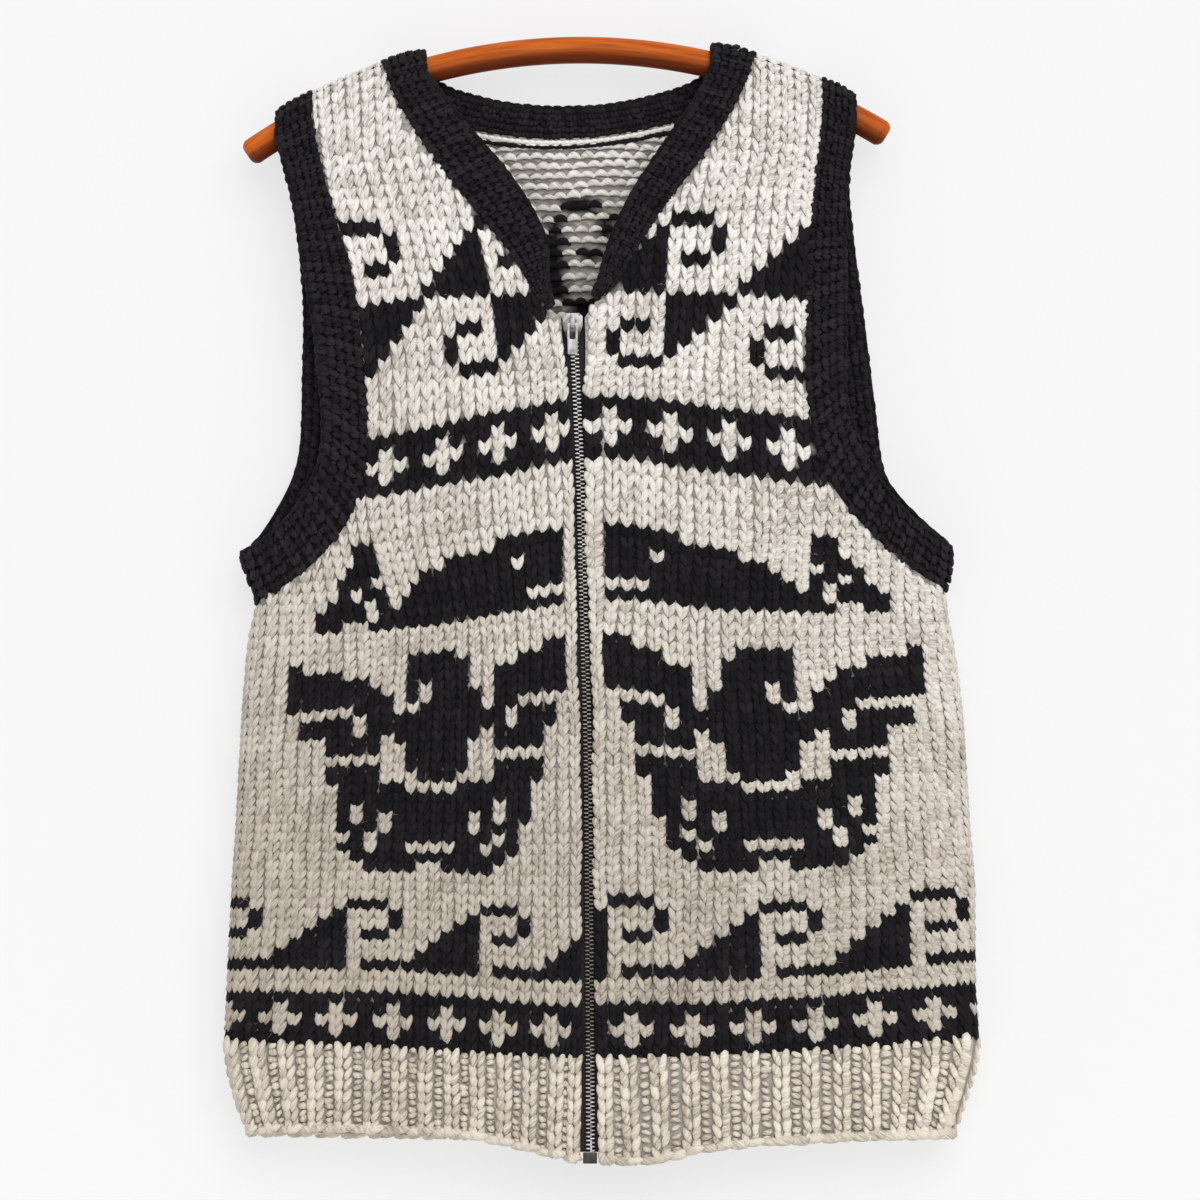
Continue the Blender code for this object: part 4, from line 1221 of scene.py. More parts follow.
class Finish:
    """A material under construction."""

    def __init__(self, name):
        self.material = bpy.data.materials.new(name)
        self.material.use_nodes = True
        self.tree = self.material.node_tree
        self.shader = self.tree.nodes["Principled BSDF"]

    def node(self, kind, settings=None, sockets=None, out=0):
        """A new node with its settings made first and its sockets set or linked."""
        node = self.tree.nodes.new(kind)
        for name, value in (settings or {}).items():
            if name == "stops":
                ramp = node.color_ramp
                while len(ramp.elements) < len(value):
                    ramp.elements.new(1.0)
                for element, (at, colour) in zip(ramp.elements, value):
                    element.position = at
                    element.color = (*colour, 1.0)
            else:
                setattr(node, name, value)
        for name, value in (sockets or {}).items():
            self.connect(node.inputs[name], value)
        return Value(self, node.outputs[out])

    def connect(self, socket, value):
        if isinstance(value, Value):
            self.tree.links.new(value.socket, socket)
        else:
            socket.default_value = value

    def set(self, **sockets):
        """Sets or links the shader's own sockets."""
        for name, value in sockets.items():
            self.connect(self.shader.inputs[name.replace("_", " ")], value)

    def blend(self, factor, first, second, how="MIX"):
        """Mix of two colours."""
        settings = {"data_type": "RGBA", "blend_type": how}
        return self.node("ShaderNodeMix", settings, {0: factor, 6: first, 7: second}, out=2)

    def noise(self, vector, scale, detail=3.0, rough=0.5, distortion=0.0):
        values = {"Vector": vector, "Scale": scale, "Detail": detail, "Roughness": rough}
        return self.node("ShaderNodeTexNoise", None, {**values, "Distortion": distortion})

    def object_place(self):
        return self.node("ShaderNodeTexCoord", None, None, out=3)

    def uv(self, name):
        return self.node("ShaderNodeUVMap", {"uv_map": name})

    def attribute(self, name):
        return self.node("ShaderNodeAttribute", {"attribute_name": name}, None, out=2)

    def parts(self, vector):
        """The three numbers of a vector."""
        split = self.node("ShaderNodeSeparateXYZ", None, {0: vector})
        outputs = split.socket.node.outputs
        return [Value(self, output) for output in outputs]

    def join(self, x, y, z):
        return self.node("ShaderNodeCombineXYZ", None, {0: x, 1: y, 2: z})

    def ramp(self, value, *stops):
        return self.node("ShaderNodeValToRGB", {"stops": stops}, {0: value})

    def bump(self, height, strength, distance):
        values = {"Height": height, "Strength": strength, "Distance": distance}
        return self.node("ShaderNodeBump", None, values)


def yarn_facts(finish):
    """Streaks along the twist, the two plies, fine fibres and each leaf's own tone."""
    along, around, _ = finish.parts(finish.uv("yarn"))
    tone = finish.attribute("tone")
    twist = around + along * 0.55
    streaks = finish.noise(finish.join(along * 0.9, twist * 7.0, tone * 37.0), 1.6, 3.0, 0.6)
    ply = (twist * (2 * TURN) + tone * 6.0).wave() * 0.5 + 0.5
    fibre = finish.noise(finish.object_place(), 900.0, 2.0, 0.7)
    return tone, streaks, ply * 0.6 + streaks * 0.8 + fibre * 0.5


def light_wool(name, *painted_shade_stops):
    """Soft two-ply marled wool of cream and grey fibres, with painted shade that makes it more grey and
    darker low down and on the left.
    """
    finish = Finish(name)
    tone, streaks, relief = yarn_facts(finish)
    place = finish.object_place()
    slow = finish.noise(place, 22.0, 2.0)
    shade = streaks * 0.92 + tone * 0.20 + slow * 0.20 - 0.18
    light = finish.ramp(
        shade,
        (0.24, (0.36, 0.32, 0.28)),
        (0.42, (0.66, 0.62, 0.57)),
        (0.56, (0.84, 0.81, 0.77)),
        (0.74, (0.96, 0.94, 0.91)),
    )
    x, _, height = finish.parts(place)
    # Painted shade: the colour is multiplied darker and more grey low down and towards the left, where
    # less light falls.
    painted_low_left_shade = finish.ramp(height * 1.35 + x * 0.45 + 1.0, *painted_shade_stops)
    finish.set(
        Base_Color=finish.blend(1.0, light, painted_low_left_shade, "MULTIPLY"),
        Roughness=streaks * 0.2 + 0.72,
        Normal=finish.bump(relief, 0.6, 0.0005),
    )
    finish.set(Sheen_Weight=0.08, Sheen_Roughness=0.6, Specular_IOR_Level=0.2)
    return finish.material


def body_wool():
    # The stops after the name are painted shade for the body, darkest at the bottom left.
    return light_wool(
        "wool_light",
        (0.10, (0.62, 0.575, 0.51)), (0.24, (0.67, 0.635, 0.58)),
        (0.44, (0.80, 0.77, 0.72)), (0.80, (1, 1, 1)))


def rib_wool():
    # A milder painted shade for the hem rib, which makes this a lighter copy of the same wool, darker
    # to the left.
    return light_wool(
        "wool_light_rib", (0.0, (0.83, 0.775, 0.69)), (0.2, (0.93, 0.88, 0.79)))


def black_wool():
    """The same yarn dyed charcoal black."""
    finish = Finish("wool_black")
    tone, streaks, relief = yarn_facts(finish)
    finish.set(
        Base_Color=finish.ramp(
            streaks * 0.6 + tone * 0.4,
            (0.25, (0.0030, 0.0025, 0.0032)),
            (0.55, (0.0085, 0.0074, 0.0088)),
            (0.80, (0.0200, 0.0175, 0.0200)),
        ),
        Roughness=streaks * 0.2 + 0.74,
        Normal=finish.bump(relief, 0.55, 0.0005),
    )
    finish.set(Sheen_Weight=0.012, Sheen_Roughness=0.5, Specular_IOR_Level=0.16)
    return finish.material


def shell_wool_gap_shade():
    """The cloth between and behind the stitches, with the bumps of its inside; its light yarn is
    painted dark grey as painted shade in the gaps between the stitches.
    """
    finish = Finish("wool_inside_gap_shade")
    wale, row, _ = finish.parts(finish.uv("knit"))
    dark = finish.attribute("dark")
    ripple = (wale * TURN).wave()
    bumps = ripple * 0.5 + (row * (2 * TURN) + ripple * 1.2).wave() * 0.5
    mottle = finish.noise(finish.object_place(), 140.0, 3.0)
    # Painted shade: this light yarn is far darker than the stitches' wool and stands for the shade
    # between them, and the bumps are painted lighter on their tops.
    light = finish.ramp(
        mottle * 0.7 + bumps * 0.12 + 0.15,
        (0.2, (0.24, 0.22, 0.20)),
        (0.8, (0.55, 0.52, 0.47)),
    )
    black = finish.ramp(mottle, (0.2, (0.004, 0.004, 0.0045)), (0.8, (0.012, 0.011, 0.012)))
    finish.set(
        Base_Color=finish.blend(dark, light, black),
        Roughness=mottle * 0.1 + 0.85,
        Normal=finish.bump(bumps + mottle * 0.6, 0.8, 0.0012),
    )
    finish.set(Specular_IOR_Level=0.2)
    return finish.material


def metal(name, bright, dull, rough, painted_light_by_height=((0.0, (1, 1, 1)), (1.0, (1, 1, 1)))):
    """Plated metal with fine scratches and cloudy wear; its last argument is a painted tint from the
    hem up that stands for reflection and shade.
    """
    finish = Finish(name)
    place = finish.object_place()
    _, _, height = finish.parts(place)
    cloud = finish.noise(place, 260.0, 4.0, 0.6)
    drawn = finish.node("ShaderNodeMapping", None, {0: place, 3: (900, 900, 90)})
    scratch = finish.noise(drawn, 1.0, 2.0)
    plating = finish.ramp(cloud, (0.35, dull), (0.65, bright))
    # The plating is multiplied by the painted tint by height, which paints reflection and shade.
    finish.set(
        Base_Color=finish.blend(1.0, plating, finish.ramp(height + 0.8, *painted_light_by_height), "MULTIPLY"),
        Roughness=cloud * 0.15 + scratch * 0.12 + rough,
        Normal=finish.bump(scratch, 0.15, 0.0002),
    )
    finish.set(Metallic=1.0)
    return finish.material


def zip_cloth():
    """Black herringbone tape."""
    finish = Finish("zip_tape")
    x, _, z = finish.parts(finish.object_place())
    rib = (z * 5200.0 + (x * 4100.0).wave() * 1.6).wave()
    weft = (x * 7400.0).wave()
    fuzz = finish.noise(finish.object_place(), 1500.0, 2.0)
    finish.set(
        Base_Color=finish.ramp(
            rib * 0.25 + fuzz * 0.5 + 0.1,
            (0.1, (0.004, 0.004, 0.005)), (0.8, (0.020, 0.020, 0.024))),
        Roughness=fuzz * 0.2 + 0.7,
        Normal=finish.bump(rib * 0.5 + weft * 0.3 + fuzz * 0.3, 0.6, 0.0003),
    )
    return finish.material


def varnished_dowel():
    """Orange-brown varnish over long grain, with painted shade that darkens the underside."""
    finish = Finish("varnished_dowel")
    along, around, _ = finish.parts(finish.uv("grain"))
    grain = finish.noise(finish.join(along * 2.4, around * 26.0, 0.0), 1.0, 5.0, 0.62, 0.35)
    pores = finish.noise(finish.join(along * 9.0, around * 110.0, 4.0), 1.0, 3.0, 0.7)
    patch = finish.noise(finish.join(along * 0.8, around * 5.0, 9.0), 1.0, 3.0, 0.5)
    shade = grain * 0.55 + patch * 0.35 + pores * 0.16 - 0.03
    # Painted shade: the colour is multiplied darker on the underside, where less light falls.
    under = finish.ramp(around * around, (0.025, (1, 1, 1)), (0.10, (0.22, 0.17, 0.14)))
    colour = finish.ramp(
        shade,
        (0.30, (0.20, 0.030, 0.002)),
        (0.45, (0.46, 0.085, 0.005)),
        (0.58, (0.64, 0.140, 0.010)),
        (0.75, (0.78, 0.240, 0.030)),
    )
    finish.set(
        Base_Color=finish.blend(1.0, colour, under, "MULTIPLY"),
        Roughness=pores * 0.2 + 0.42,
        Normal=finish.bump(grain * 0.5 + pores * 0.5, 0.12, 0.0004),
    )
    finish.set(Coat_Weight=0.04, Coat_Roughness=0.3, Specular_IOR_Level=0.12)
    return finish.material


# Cloth shells
def grid_mesh(name, outer, inner, ring=False):
    """Closed wall between two grids of points, whose rows join up when it is a ring."""
    rows, columns = outer.shape[:2]
    points = np.concatenate((outer.reshape(-1, 3), inner.reshape(-1, 3))) * MM
    back = rows * columns
    faces = []
    pairs = [(j, (j + 1) % rows) for j in range(rows if ring else rows - 1)]
    for j, k in pairs:
        for i in range(columns - 1):
            a, d = j * columns + i, k * columns + i
            b, c = a + 1, d + 1
            faces.append((a, b, c, d))
            faces.append((back + d, back + c, back + b, back + a))
        for i in (0, columns - 1):
            a, d = j * columns + i, k * columns + i
            faces.append((a, d, back + d, back + a))
    if not ring:
        for j in (0, rows - 1):
            for i in range(columns - 1):
                a, b = j * columns + i, j * columns + i + 1
                faces.append((a, b, back + b, back + a))
    mesh = bpy.data.meshes.new(name)
    mesh.from_pydata(points.tolist(), [], faces)
    bm = bmesh.new()
    bm.from_mesh(mesh)
    bmesh.ops.recalc_face_normals(bm, faces=bm.faces)
    bm.to_mesh(mesh)
    bm.free()
    mesh.shade_smooth()
    mesh.set_sharp_from_angle(angle=radians(50))
    return new_object(name, mesh)


def write_knit(obj, k, r, dark):
    """Stitch places as a UV map and the dark yarn as an attribute, the same on both faces."""
    mesh = obj.data
    places = np.tile(np.stack((k.ravel(), r.ravel()), -1), (2, 1))
    index = np.empty(len(mesh.loops), np.int32)
    mesh.loops.foreach_get("vertex_index", index)
    layer = mesh.uv_layers.new(name="knit")
    layer.data.foreach_set("uv", places[index].astype(np.float32).ravel())
    attribute = mesh.attributes.new("dark", "FLOAT", "POINT")
    attribute.data.foreach_set("value", np.tile(dark.ravel(), 2).astype(np.float32))


def patch(left, right, columns, bottom, top):
    """Grid on the flat plane between two sides with a curved bottom and top."""
    u = columns[None, :, None]
    v = np.linspace(0, 1, len(left))[:, None, None]
    low_bend = bottom - mix(bottom[0], bottom[-1], columns[:, None])
    high_bend = top - mix(top[0], top[-1], columns[:, None])
    return mix(left[:, None], right[:, None], u) + low_bend[None] * (1 - v) + high_bend[None] * v


def front_grid(side):
    outer, inner = front_edges(side)
    columns = np.linspace(0, 1, FRONT_COLUMNS)
    s = mix(outer[0, 0], inner[0, 0], columns)
    bottom = at_height(s, rib_top_z[-1](s))
    outer[0], inner[0] = bottom[0], bottom[-1]
    top = mix(outer[-1], inner[-1], columns[:, None])
    return patch(outer, inner, columns, bottom, top)


def back_grid():
    left, right, neck = back_edges()
    steps = np.arange(BACK_SHOULDER_COLUMNS)[:, None] / BACK_SHOULDER_COLUMNS
    top = np.concatenate((
        mix(left[-1], neck[0], steps), neck,
        mix(neck[-1], right[-1], steps + 1 / BACK_SHOULDER_COLUMNS)))
    reach = np.concatenate(([0.0], np.cumsum(np.linalg.norm(np.diff(top, axis=0), axis=1))))
    columns = reach / reach[-1]
    s = mix(left[0, 0], right[0, 0], columns)
    bottom = at_height(s, rib_top_z[1](s))
    left[0], right[0] = bottom[0], bottom[-1]
    return patch(left, right, columns, bottom, top)


def cloth_shell(name, grid, panel, material, node, lift=0.0):
    """Thin shell of knitted cloth on a grid of the flat plane."""
    facing = FACING[panel]
    outer = cloth_face(grid, facing, lift - SHELL_TOP)
    inner = cloth_face(grid, facing, np.full(grid.shape[:2], -SHELL_BACK))
    obj = grid_mesh(name, outer, inner)
    k, r = knit_count(panel, grid)
    chart = charts[panel]
    rows = np.clip(r.astype(int), 0, chart.shape[0] - 1)
    columns = np.clip(k.astype(int), 0, chart.shape[1] - 1)
    dark = chart[rows, columns].astype(float)
    if np.any(lift):
        dark = np.zeros(k.shape)
    write_knit(obj, k, r, dark)
    obj.data.materials.append(material)
    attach(obj, BODY)
    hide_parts(node)
    return obj


def rib_columns(panel):
    """Middles of the raised columns: every second wale line, and one along the zip."""
    if panel == "left":
        return np.append(np.arange(1.0, WALES[panel] - 1, 2), WALES[panel] - 0.55)
    if panel == "right":
        return np.append(0.55, np.arange(2.2, WALES[panel], 2))
    return np.arange(1.0, WALES[panel], 2)


def rib_lift(panel, k):
    """Height of the hem rib above the cloth's outer face at wale k."""
    away = np.min(np.abs(k[..., None] - rib_columns(panel)), axis=-1)
    return mix(RIB_HEIGHT, -RIB_SINK, smooth(away))


def rib_cells(panel):
    """Grid of the flat plane over the hem rib."""
    columns = np.linspace(0, WALES[panel], WALES[panel] * 4 + 1)
    rows = np.linspace(0, -RIB_ROWS, 13)
    k, r = np.meshgrid(columns, rows)
    return knit_place(panel, k, r), k


def rib_stitches(yarn, panel):
    """Raised knit columns of two ropes each, and purl bumps in the troughs between them."""
    facing = FACING[panel]
    middles = rib_columns(panel)
    k, r = (a.ravel() for a in np.meshgrid(middles, np.arange(-RIB_ROWS, 0, dtype=float)))
    pitch = np.linalg.norm(knit_place(panel, k + 0.5, r) - knit_place(panel, k - 0.5, r), axis=1)
    pitch = np.clip(pitch, *RIB_PITCHES)
    dx, dy = wander(k, r, RIB_WANDER)
    top = np.where(r == -1, 0.34, 0.0)
    for sign in (-1, 1):
        jitter = rng.normal(0, 0.035, (4, len(k)))
        start = knit_place(panel, k + sign * 0.17 + dx + jitter[0], r - 0.34 + dy + jitter[1])
        end = knit_place(panel, k + sign * 0.50 + dx + jitter[2], r + 1.06 + top + dy + jitter[3])
        size = uneven(0.07, len(k))
        yarn.lay(
            start, end, pitch * 0.31 * size, 2.4 * size, low=1.2, high=-0.9, facing=facing,
            dark=0.0, tone=tones(len(k)), bend=sign * facing * 0.5, belly=0.8)
    troughs = (middles[1:] + middles[:-1]) / 2
    k, r = (a.ravel() for a in np.meshgrid(troughs, np.arange(-RIB_ROWS + 0.3, 0.2, RIB_PURL_STEP)))
    tilt = np.where(rng.random(len(k)) < 0.5, 0.14, -0.10)
    jitter = rng.normal(0, 0.05, (2, len(k)))
    size = uneven(0.10, len(k))
    start = knit_place(panel, k - 0.36 + jitter[0], r + tilt)
    end = knit_place(panel, k + 0.36 + jitter[1], r - tilt)
    width, thick = STRANDS["rib bump"]
    yarn.lay(
        start, end, width * size, thick * size, low=-1.7, high=-1.7, facing=facing, dark=0.0,
        tone=tones(len(k)) * 0.8, bend=rng.normal(0, 0.5, len(k)), belly=1.0)


def cast_on(yarn, panel):
    """Rope-like edge along the hem: slanted lumps that lie over one another."""
    facing = FACING[panel]
    k = rib_columns(panel)
    size = uneven(0.06, len(k))
    jitter = rng.normal(0, 0.05, (4, len(k)))
    last = WALES[panel] + 0.1
    width, thick = STRANDS["cast-on lump"]
    for shift, rise, out in ((-0.62, 0.26, 0.0), (0.48, 0.10, -0.7)):
        start = knit_place(
            panel, np.clip(k + shift + jitter[0], -0.1, last), -RIB_ROWS - 0.10 + jitter[1])
        end = knit_place(
            panel, np.clip(k + shift + 1.55 + jitter[2], 0.4, last), -RIB_ROWS + rise + jitter[3])
        keep = np.linalg.norm(end - start, axis=1) > 6
        yarn.lay(
            start[keep], end[keep], (width * size)[keep], (thick * size)[keep], low=out, high=out + 0.9,
            facing=facing, dark=0.0, tone=tones(len(k))[keep], belly=0.7)
    k = np.arange(0.0, WALES[panel] - 0.6, 1.0)
    start = knit_place(panel, k - 0.05, np.full(len(k), -RIB_ROWS + 0.16))
    end = knit_place(panel, k + 1.25, np.full(len(k), -RIB_ROWS + 0.08))
    yarn.lay(
        start, end, *STRANDS["cast-on fill"], low=-3.0, high=-2.8, facing=facing, dark=0.0,
        tone=tones(len(k)), belly=0.2)


# Bands
class Strip:
    """One stretch of a band: its seam and free edge on the flat plane, on one facing."""

    def __init__(self, seam, edge, facing):
        self.seam, self.edge, self.facing = seam, edge, facing
        self.count = len(seam) - 1

    def place(self, j, across):
        """Place at station j and at a share of the way from the seam to the free edge."""
        steps = np.arange(self.count + 1)
        j = np.asarray(j, float)
        beyond = j - np.clip(j, 0, self.count)
        seam = np.stack([np.interp(j, steps, self.seam[:, i]) for i in (0, 1)], -1)
        edge = np.stack([np.interp(j, steps, self.edge[:, i]) for i in (0, 1)], -1)
        slope_low, slope_high = self.seam[1] - self.seam[0], self.seam[-1] - self.seam[-2]
        slope = np.where(beyond[..., None] < 0, slope_low, slope_high)
        return mix(seam, edge, np.asarray(across)[..., None]) + slope * beyond[..., None]


def line_length(points):
    fine = resample(points, 60)
    return float(np.sum(np.linalg.norm(np.diff(fine, axis=0), axis=1)))


def band_steps(seam, edge):
    """How many stitches lie along the middle of a band."""
    return round((line_length(seam) + line_length(edge)) / 2 / BAND_PITCH)


def side_strip(side, facing, place, points):
    """Stretch of a band up one side; points gives the line of its seam or of its edge."""
    lines = {name: points(name) for name in ("seam", "edge")}
    steps = band_steps(lines["seam"], lines["edge"])
    ends = {name: shoulder_rows(side, place + "_" + name, BAND_SHOULDER_STEPS) for name in lines}
    seam, edge = (np.concatenate((resample(lines[name], steps), ends[name])) for name in lines)
    return Strip(seam, edge, facing)


def armhole_strip(side, facing):
    rows = (FRONT_ARMHOLE if facing < 0 else BACK_ARMHOLE)[side]
    return side_strip(side, facing, "arm", lambda line: armhole_points(rows, side, line))


def neck_strip(side):
    return side_strip(side, -1, "neck", lambda line: neck_points(side, line))


def back_neck_strip():
    lines = {"neck_seam": back_neck_points("seam"), "neck_edge": back_neck_points("edge")}
    steps = band_steps(*lines.values())
    parts = []
    for name, points in lines.items():
        left, right = (shoulder_rows(side, name, BAND_SHOULDER_STEPS) for side in SIGN)
        parts.append(np.concatenate((left[::-1], resample(points, steps), right)))
    return Strip(parts[0], parts[1], 1)


BAND_SECTION = table(
    "across top back",
    (0.0, 2.0, 4.3),
    (0.3, 1.7, 4.3),
    (0.7, 1.7, 4.3),
    (0.9, 2.0, 4.1),
    (1.0, 2.8, 3.6),
)


def band_points(strip):
    outer, inner = [], []
    for row in BAND_SECTION:
        place = strip.place(np.arange(strip.count + 1), np.full(strip.count + 1, row["across"]))
        outer.append(cloth_face(place, strip.facing, np.full(len(place), -row["top"])))
        inner.append(cloth_face(place, strip.facing, np.full(len(place), -row["back"])))
    return np.stack(outer, 1), np.stack(inner, 1)


def band_shell(name, strips, material, ring):
    """Core of a band under its stitches.

    Each strip comes with whether it is followed forwards and how many stations it skips.
    """
    outer, inner = [], []
    for strip, forward, skip in strips:
        near, far = band_points(strip)
        if not forward:
            near, far = near[::-1], far[::-1]
        outer.append(near[skip:])
        inner.append(far[skip:])
    if ring:
        outer[-1], inner[-1] = outer[-1][:-1], inner[-1][:-1]
    outer, inner = np.concatenate(outer), np.concatenate(inner)
    obj = grid_mesh(name, outer, inner, ring)
    j, i = np.meshgrid(np.arange(outer.shape[0]), np.arange(outer.shape[1]), indexing="ij")
    write_knit(obj, j.astype(float), i.astype(float), np.ones(j.shape))
    obj.data.materials.append(material)
    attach(obj, BODY)
    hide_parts(name.replace("_core", ""))
    return obj


BAND_ROWS = (0.0, 0.19, 0.38, 0.57, 0.76)


def band_stitches(yarn, strip, inner=False):
    """Knobbly rib worked outwards from the seam and cast off along the free edge."""
    count = strip.count
    j0 = np.arange(count, dtype=float)
    shade = 0.5 + 0.5 * np.sin(j0 * 1.9)
    for low in BAND_ROWS:
        crown = -1.6 + 1.7 * sin(pi * (low * 0.8 + 0.22))
        wave = rng.normal(0, 0.35, count)
        for sign in (-1, 1):
            jitter = rng.normal(0, 0.045, (4, count))
            start = strip.place(j0 + 0.5 + sign * 0.09 + jitter[0], low - 0.035 + jitter[1] * 0.4)
            end = strip.place(j0 + 0.5 + sign * 0.27 + jitter[2], low + 0.20 + jitter[3] * 0.4)
            size = uneven(0.12, count)
            width, thick = STRANDS["band leg"]
            yarn.lay(
                start, end, width * size, thick * size, low=crown + wave, high=crown - 1.7,
                facing=strip.facing, dark=1.0, tone=0.4 + tones(count, shade), inner=inner, belly=0.9)
        jitter = rng.normal(0, 0.05, (3, count))
        start = strip.place(j0 - 0.27 + jitter[0], low + 0.105 + jitter[1] * 0.5)
        end = strip.place(j0 + 0.27 + jitter[2], low + 0.085 + jitter[1] * 0.5)
        size = uneven(0.12, count)
        width, thick = STRANDS["band bump"]
        yarn.lay(
            start, end, width * size, thick * size, low=crown - 2.0, high=crown - 2.0,
            facing=strip.facing, dark=1.0, tone=0.4 + tones(count), inner=inner, belly=1.5)
    start = strip.place(j0 - 0.15, 0.955 + rng.normal(0, 0.012, count))
    end = strip.place(j0 + 1.10, 0.925 + rng.normal(0, 0.012, count))
    yarn.lay(
        start, end, *STRANDS["band edge"], low=-1.9, high=-2.2, facing=strip.facing, dark=1.0,
        tone=tones(count), inner=inner, belly=0.6)


# Hard parts
def only(obj):
    """Makes an object the only selected one."""
    bpy.ops.object.select_all(action="DESELECT")
    obj.select_set(True)
    bpy.context.view_layer.objects.active = obj


def select_faces(obj, chosen):
    """Selects the faces that a test picks, and nothing else."""
    mesh = obj.data
    bpy.context.scene.tool_settings.mesh_select_mode = (False, False, True)
    for group in (mesh.vertices, mesh.edges, mesh.polygons):
        for part in group:
            part.select = False
    for face in mesh.polygons:
        face.select = bool(chosen(face))


def finish_piece(obj, name, material, body, slot, *nodes):
    """Puts a piece's place into its mesh and hangs it on its body."""
    only(obj)
    bpy.ops.object.transform_apply(location=True, rotation=True, scale=True)
    obj.name = name
    obj.data.name = name
    obj.data.materials.clear()
    obj.data.materials.append(material)
    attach(obj, body)
    if nodes:
        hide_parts(*nodes)
    return obj


ARC_MIDDLE = Vector((
    HANGER_ARC_RADIUS * sin(HANGER_TILT), 0.0, -HANGER_ARC_RADIUS * cos(HANGER_TILT) - DOWEL_RADIUS))


def dowel(material):
    """Round rod spun along the hanger's arc, with its ends rounded over."""
    start = -HANGER_HALF_ANGLE - HANGER_TILT
    out = Vector((sin(start), 0, cos(start)))
    bpy.ops.object.select_all(action="DESELECT")
    bpy.ops.mesh.primitive_circle_add(
        vertices=DOWEL_SIDES, radius=DOWEL_RADIUS * MM, fill_type="NGON",
        location=(ARC_MIDDLE + out * HANGER_ARC_RADIUS) * MM, rotation=(0, pi / 2 + start, 0))
    rod = bpy.context.object
    only(rod)
    bpy.ops.object.transform_apply(location=True, rotation=True, scale=True)
    bpy.ops.object.mode_set(mode="EDIT")
    bpy.ops.mesh.select_all(action="SELECT")
    bpy.ops.mesh.spin(
        steps=DOWEL_PARTS, angle=-2 * HANGER_HALF_ANGLE, center=ARC_MIDDLE * MM, axis=(0, 1, 0),
        dupli=False)
    bpy.ops.mesh.select_all(action="SELECT")
    bpy.ops.mesh.normals_make_consistent(inside=False)
    bpy.ops.object.mode_set(mode="OBJECT")
    mesh = rod.data
    select_faces(rod, lambda face: len(face.vertices) > 4)
    bpy.ops.object.mode_set(mode="EDIT")
    bpy.ops.mesh.bevel(offset=DOWEL_END_ROUND * MM, segments=6, profile=0.5, affect="EDGES")
    bpy.ops.object.mode_set(mode="OBJECT")
    bpy.ops.object.shade_smooth_by_angle(angle=radians(50))
    layer = mesh.uv_layers.new(name="grain")
    for face in mesh.polygons:
        centre = face.center / MM - ARC_MIDDLE
        out = Vector((centre.x, 0, centre.z)).normalized()
        middle_turn = np.arctan2(centre.y, centre.dot(out) - HANGER_ARC_RADIUS)
        for loop in face.loop_indices:
            point = mesh.vertices[mesh.loops[loop].vertex_index].co / MM - ARC_MIDDLE
            along = np.arctan2(point.x, point.z) * HANGER_ARC_RADIUS
            radial = Vector((point.x, 0, point.z)).normalized()
            turn = np.arctan2(point.y, point.dot(radial) - HANGER_ARC_RADIUS)
            turn += 2 * pi * round(float(middle_turn - turn) / (2 * pi))
            layer.data[loop].uv = (along / 100, turn / (2 * pi))
    return finish_piece(rod, "hanger_dowel", material, BODY, "varnished_wood", "hanger")


def zip_point(x, z, depth):
    """Points at distances across the zip and behind the cloth's outer face."""
    x, z, depth = np.broadcast_arrays(*(np.asarray(v, float) for v in (x, z, depth)))
    s = zip_x(z) + x
    h = WRAP_LENGTH + dowel_z(s) - z
    return cloth_point(s, h, -1) - cloth_normal(s, h, -1) * depth[..., None]


TOOTH_CENTRE = 1.42
TOOTH_SIZE = (3.2, 2.2, 1.1)
TOOTH_BEVEL = 0.34


def tooth():
    """One tooth of the zip about its own middle: X across the zip, Y inwards, Z along it."""
    bpy.ops.object.select_all(action="DESELECT")
    bpy.ops.mesh.primitive_cube_add(size=1.0)
    obj = bpy.context.object
    only(obj)
    obj.scale = TOOTH_SIZE
    bpy.ops.object.transform_apply(location=True, rotation=True, scale=True)
    bpy.ops.object.mode_set(mode="EDIT")
    bpy.ops.mesh.select_all(action="SELECT")
    bpy.ops.mesh.bevel(offset=TOOTH_BEVEL, segments=1, profile=0.6, affect="EDGES")
    bpy.ops.object.mode_set(mode="OBJECT")
    points = np.array([v.co for v in obj.data.vertices])
    faces = [tuple(face.vertices) for face in obj.data.polygons]
    bpy.data.objects.remove(obj, do_unlink=True)
    return points, faces


def zip_teeth(material):
    """Interlocked teeth, alternating from the left and the right tape."""
    points, faces = tooth()
    levels = np.arange(ZIP_BOTTOM + 1.0, TAPE_TOP - 1.0, TOOTH_PITCH / 2)
    all_points, all_faces = [], []
    for i, z in enumerate(levels):
        sign = -1 if i % 2 else 1
        x = points[:, 0] + sign * TOOTH_CENTRE
        all_points.append(zip_point(x, z + points[:, 2], TOOTH_TOP + TOOTH_SIZE[1] / 2 + points[:, 1]))
        all_faces += [tuple(v + i * len(points) for v in face) for face in faces]
    mesh = bpy.data.meshes.new("zip_teeth")
    mesh.from_pydata((np.concatenate(all_points) * MM).tolist(), [], all_faces)
    obj = new_object("zip_teeth", mesh)
    only(obj)
    bpy.ops.object.shade_smooth_by_angle(angle=radians(40))
    mesh.materials.append(material)
    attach(obj, BODY)
    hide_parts("zip_chain")
    return obj


# The tape's front face from its corded edge outwards
TAPE_SECTION = table(
    "across depth",
    (0.6, 0.15),
    (1.1, -0.35),
    (2.0, -0.35),
    (2.6, 0.0),
    (3.4, 0.0),
    (6.0, 0.0),
    (9.0, 0.0),
    (12.0, 0.0),
    (16.0, 0.0),
)


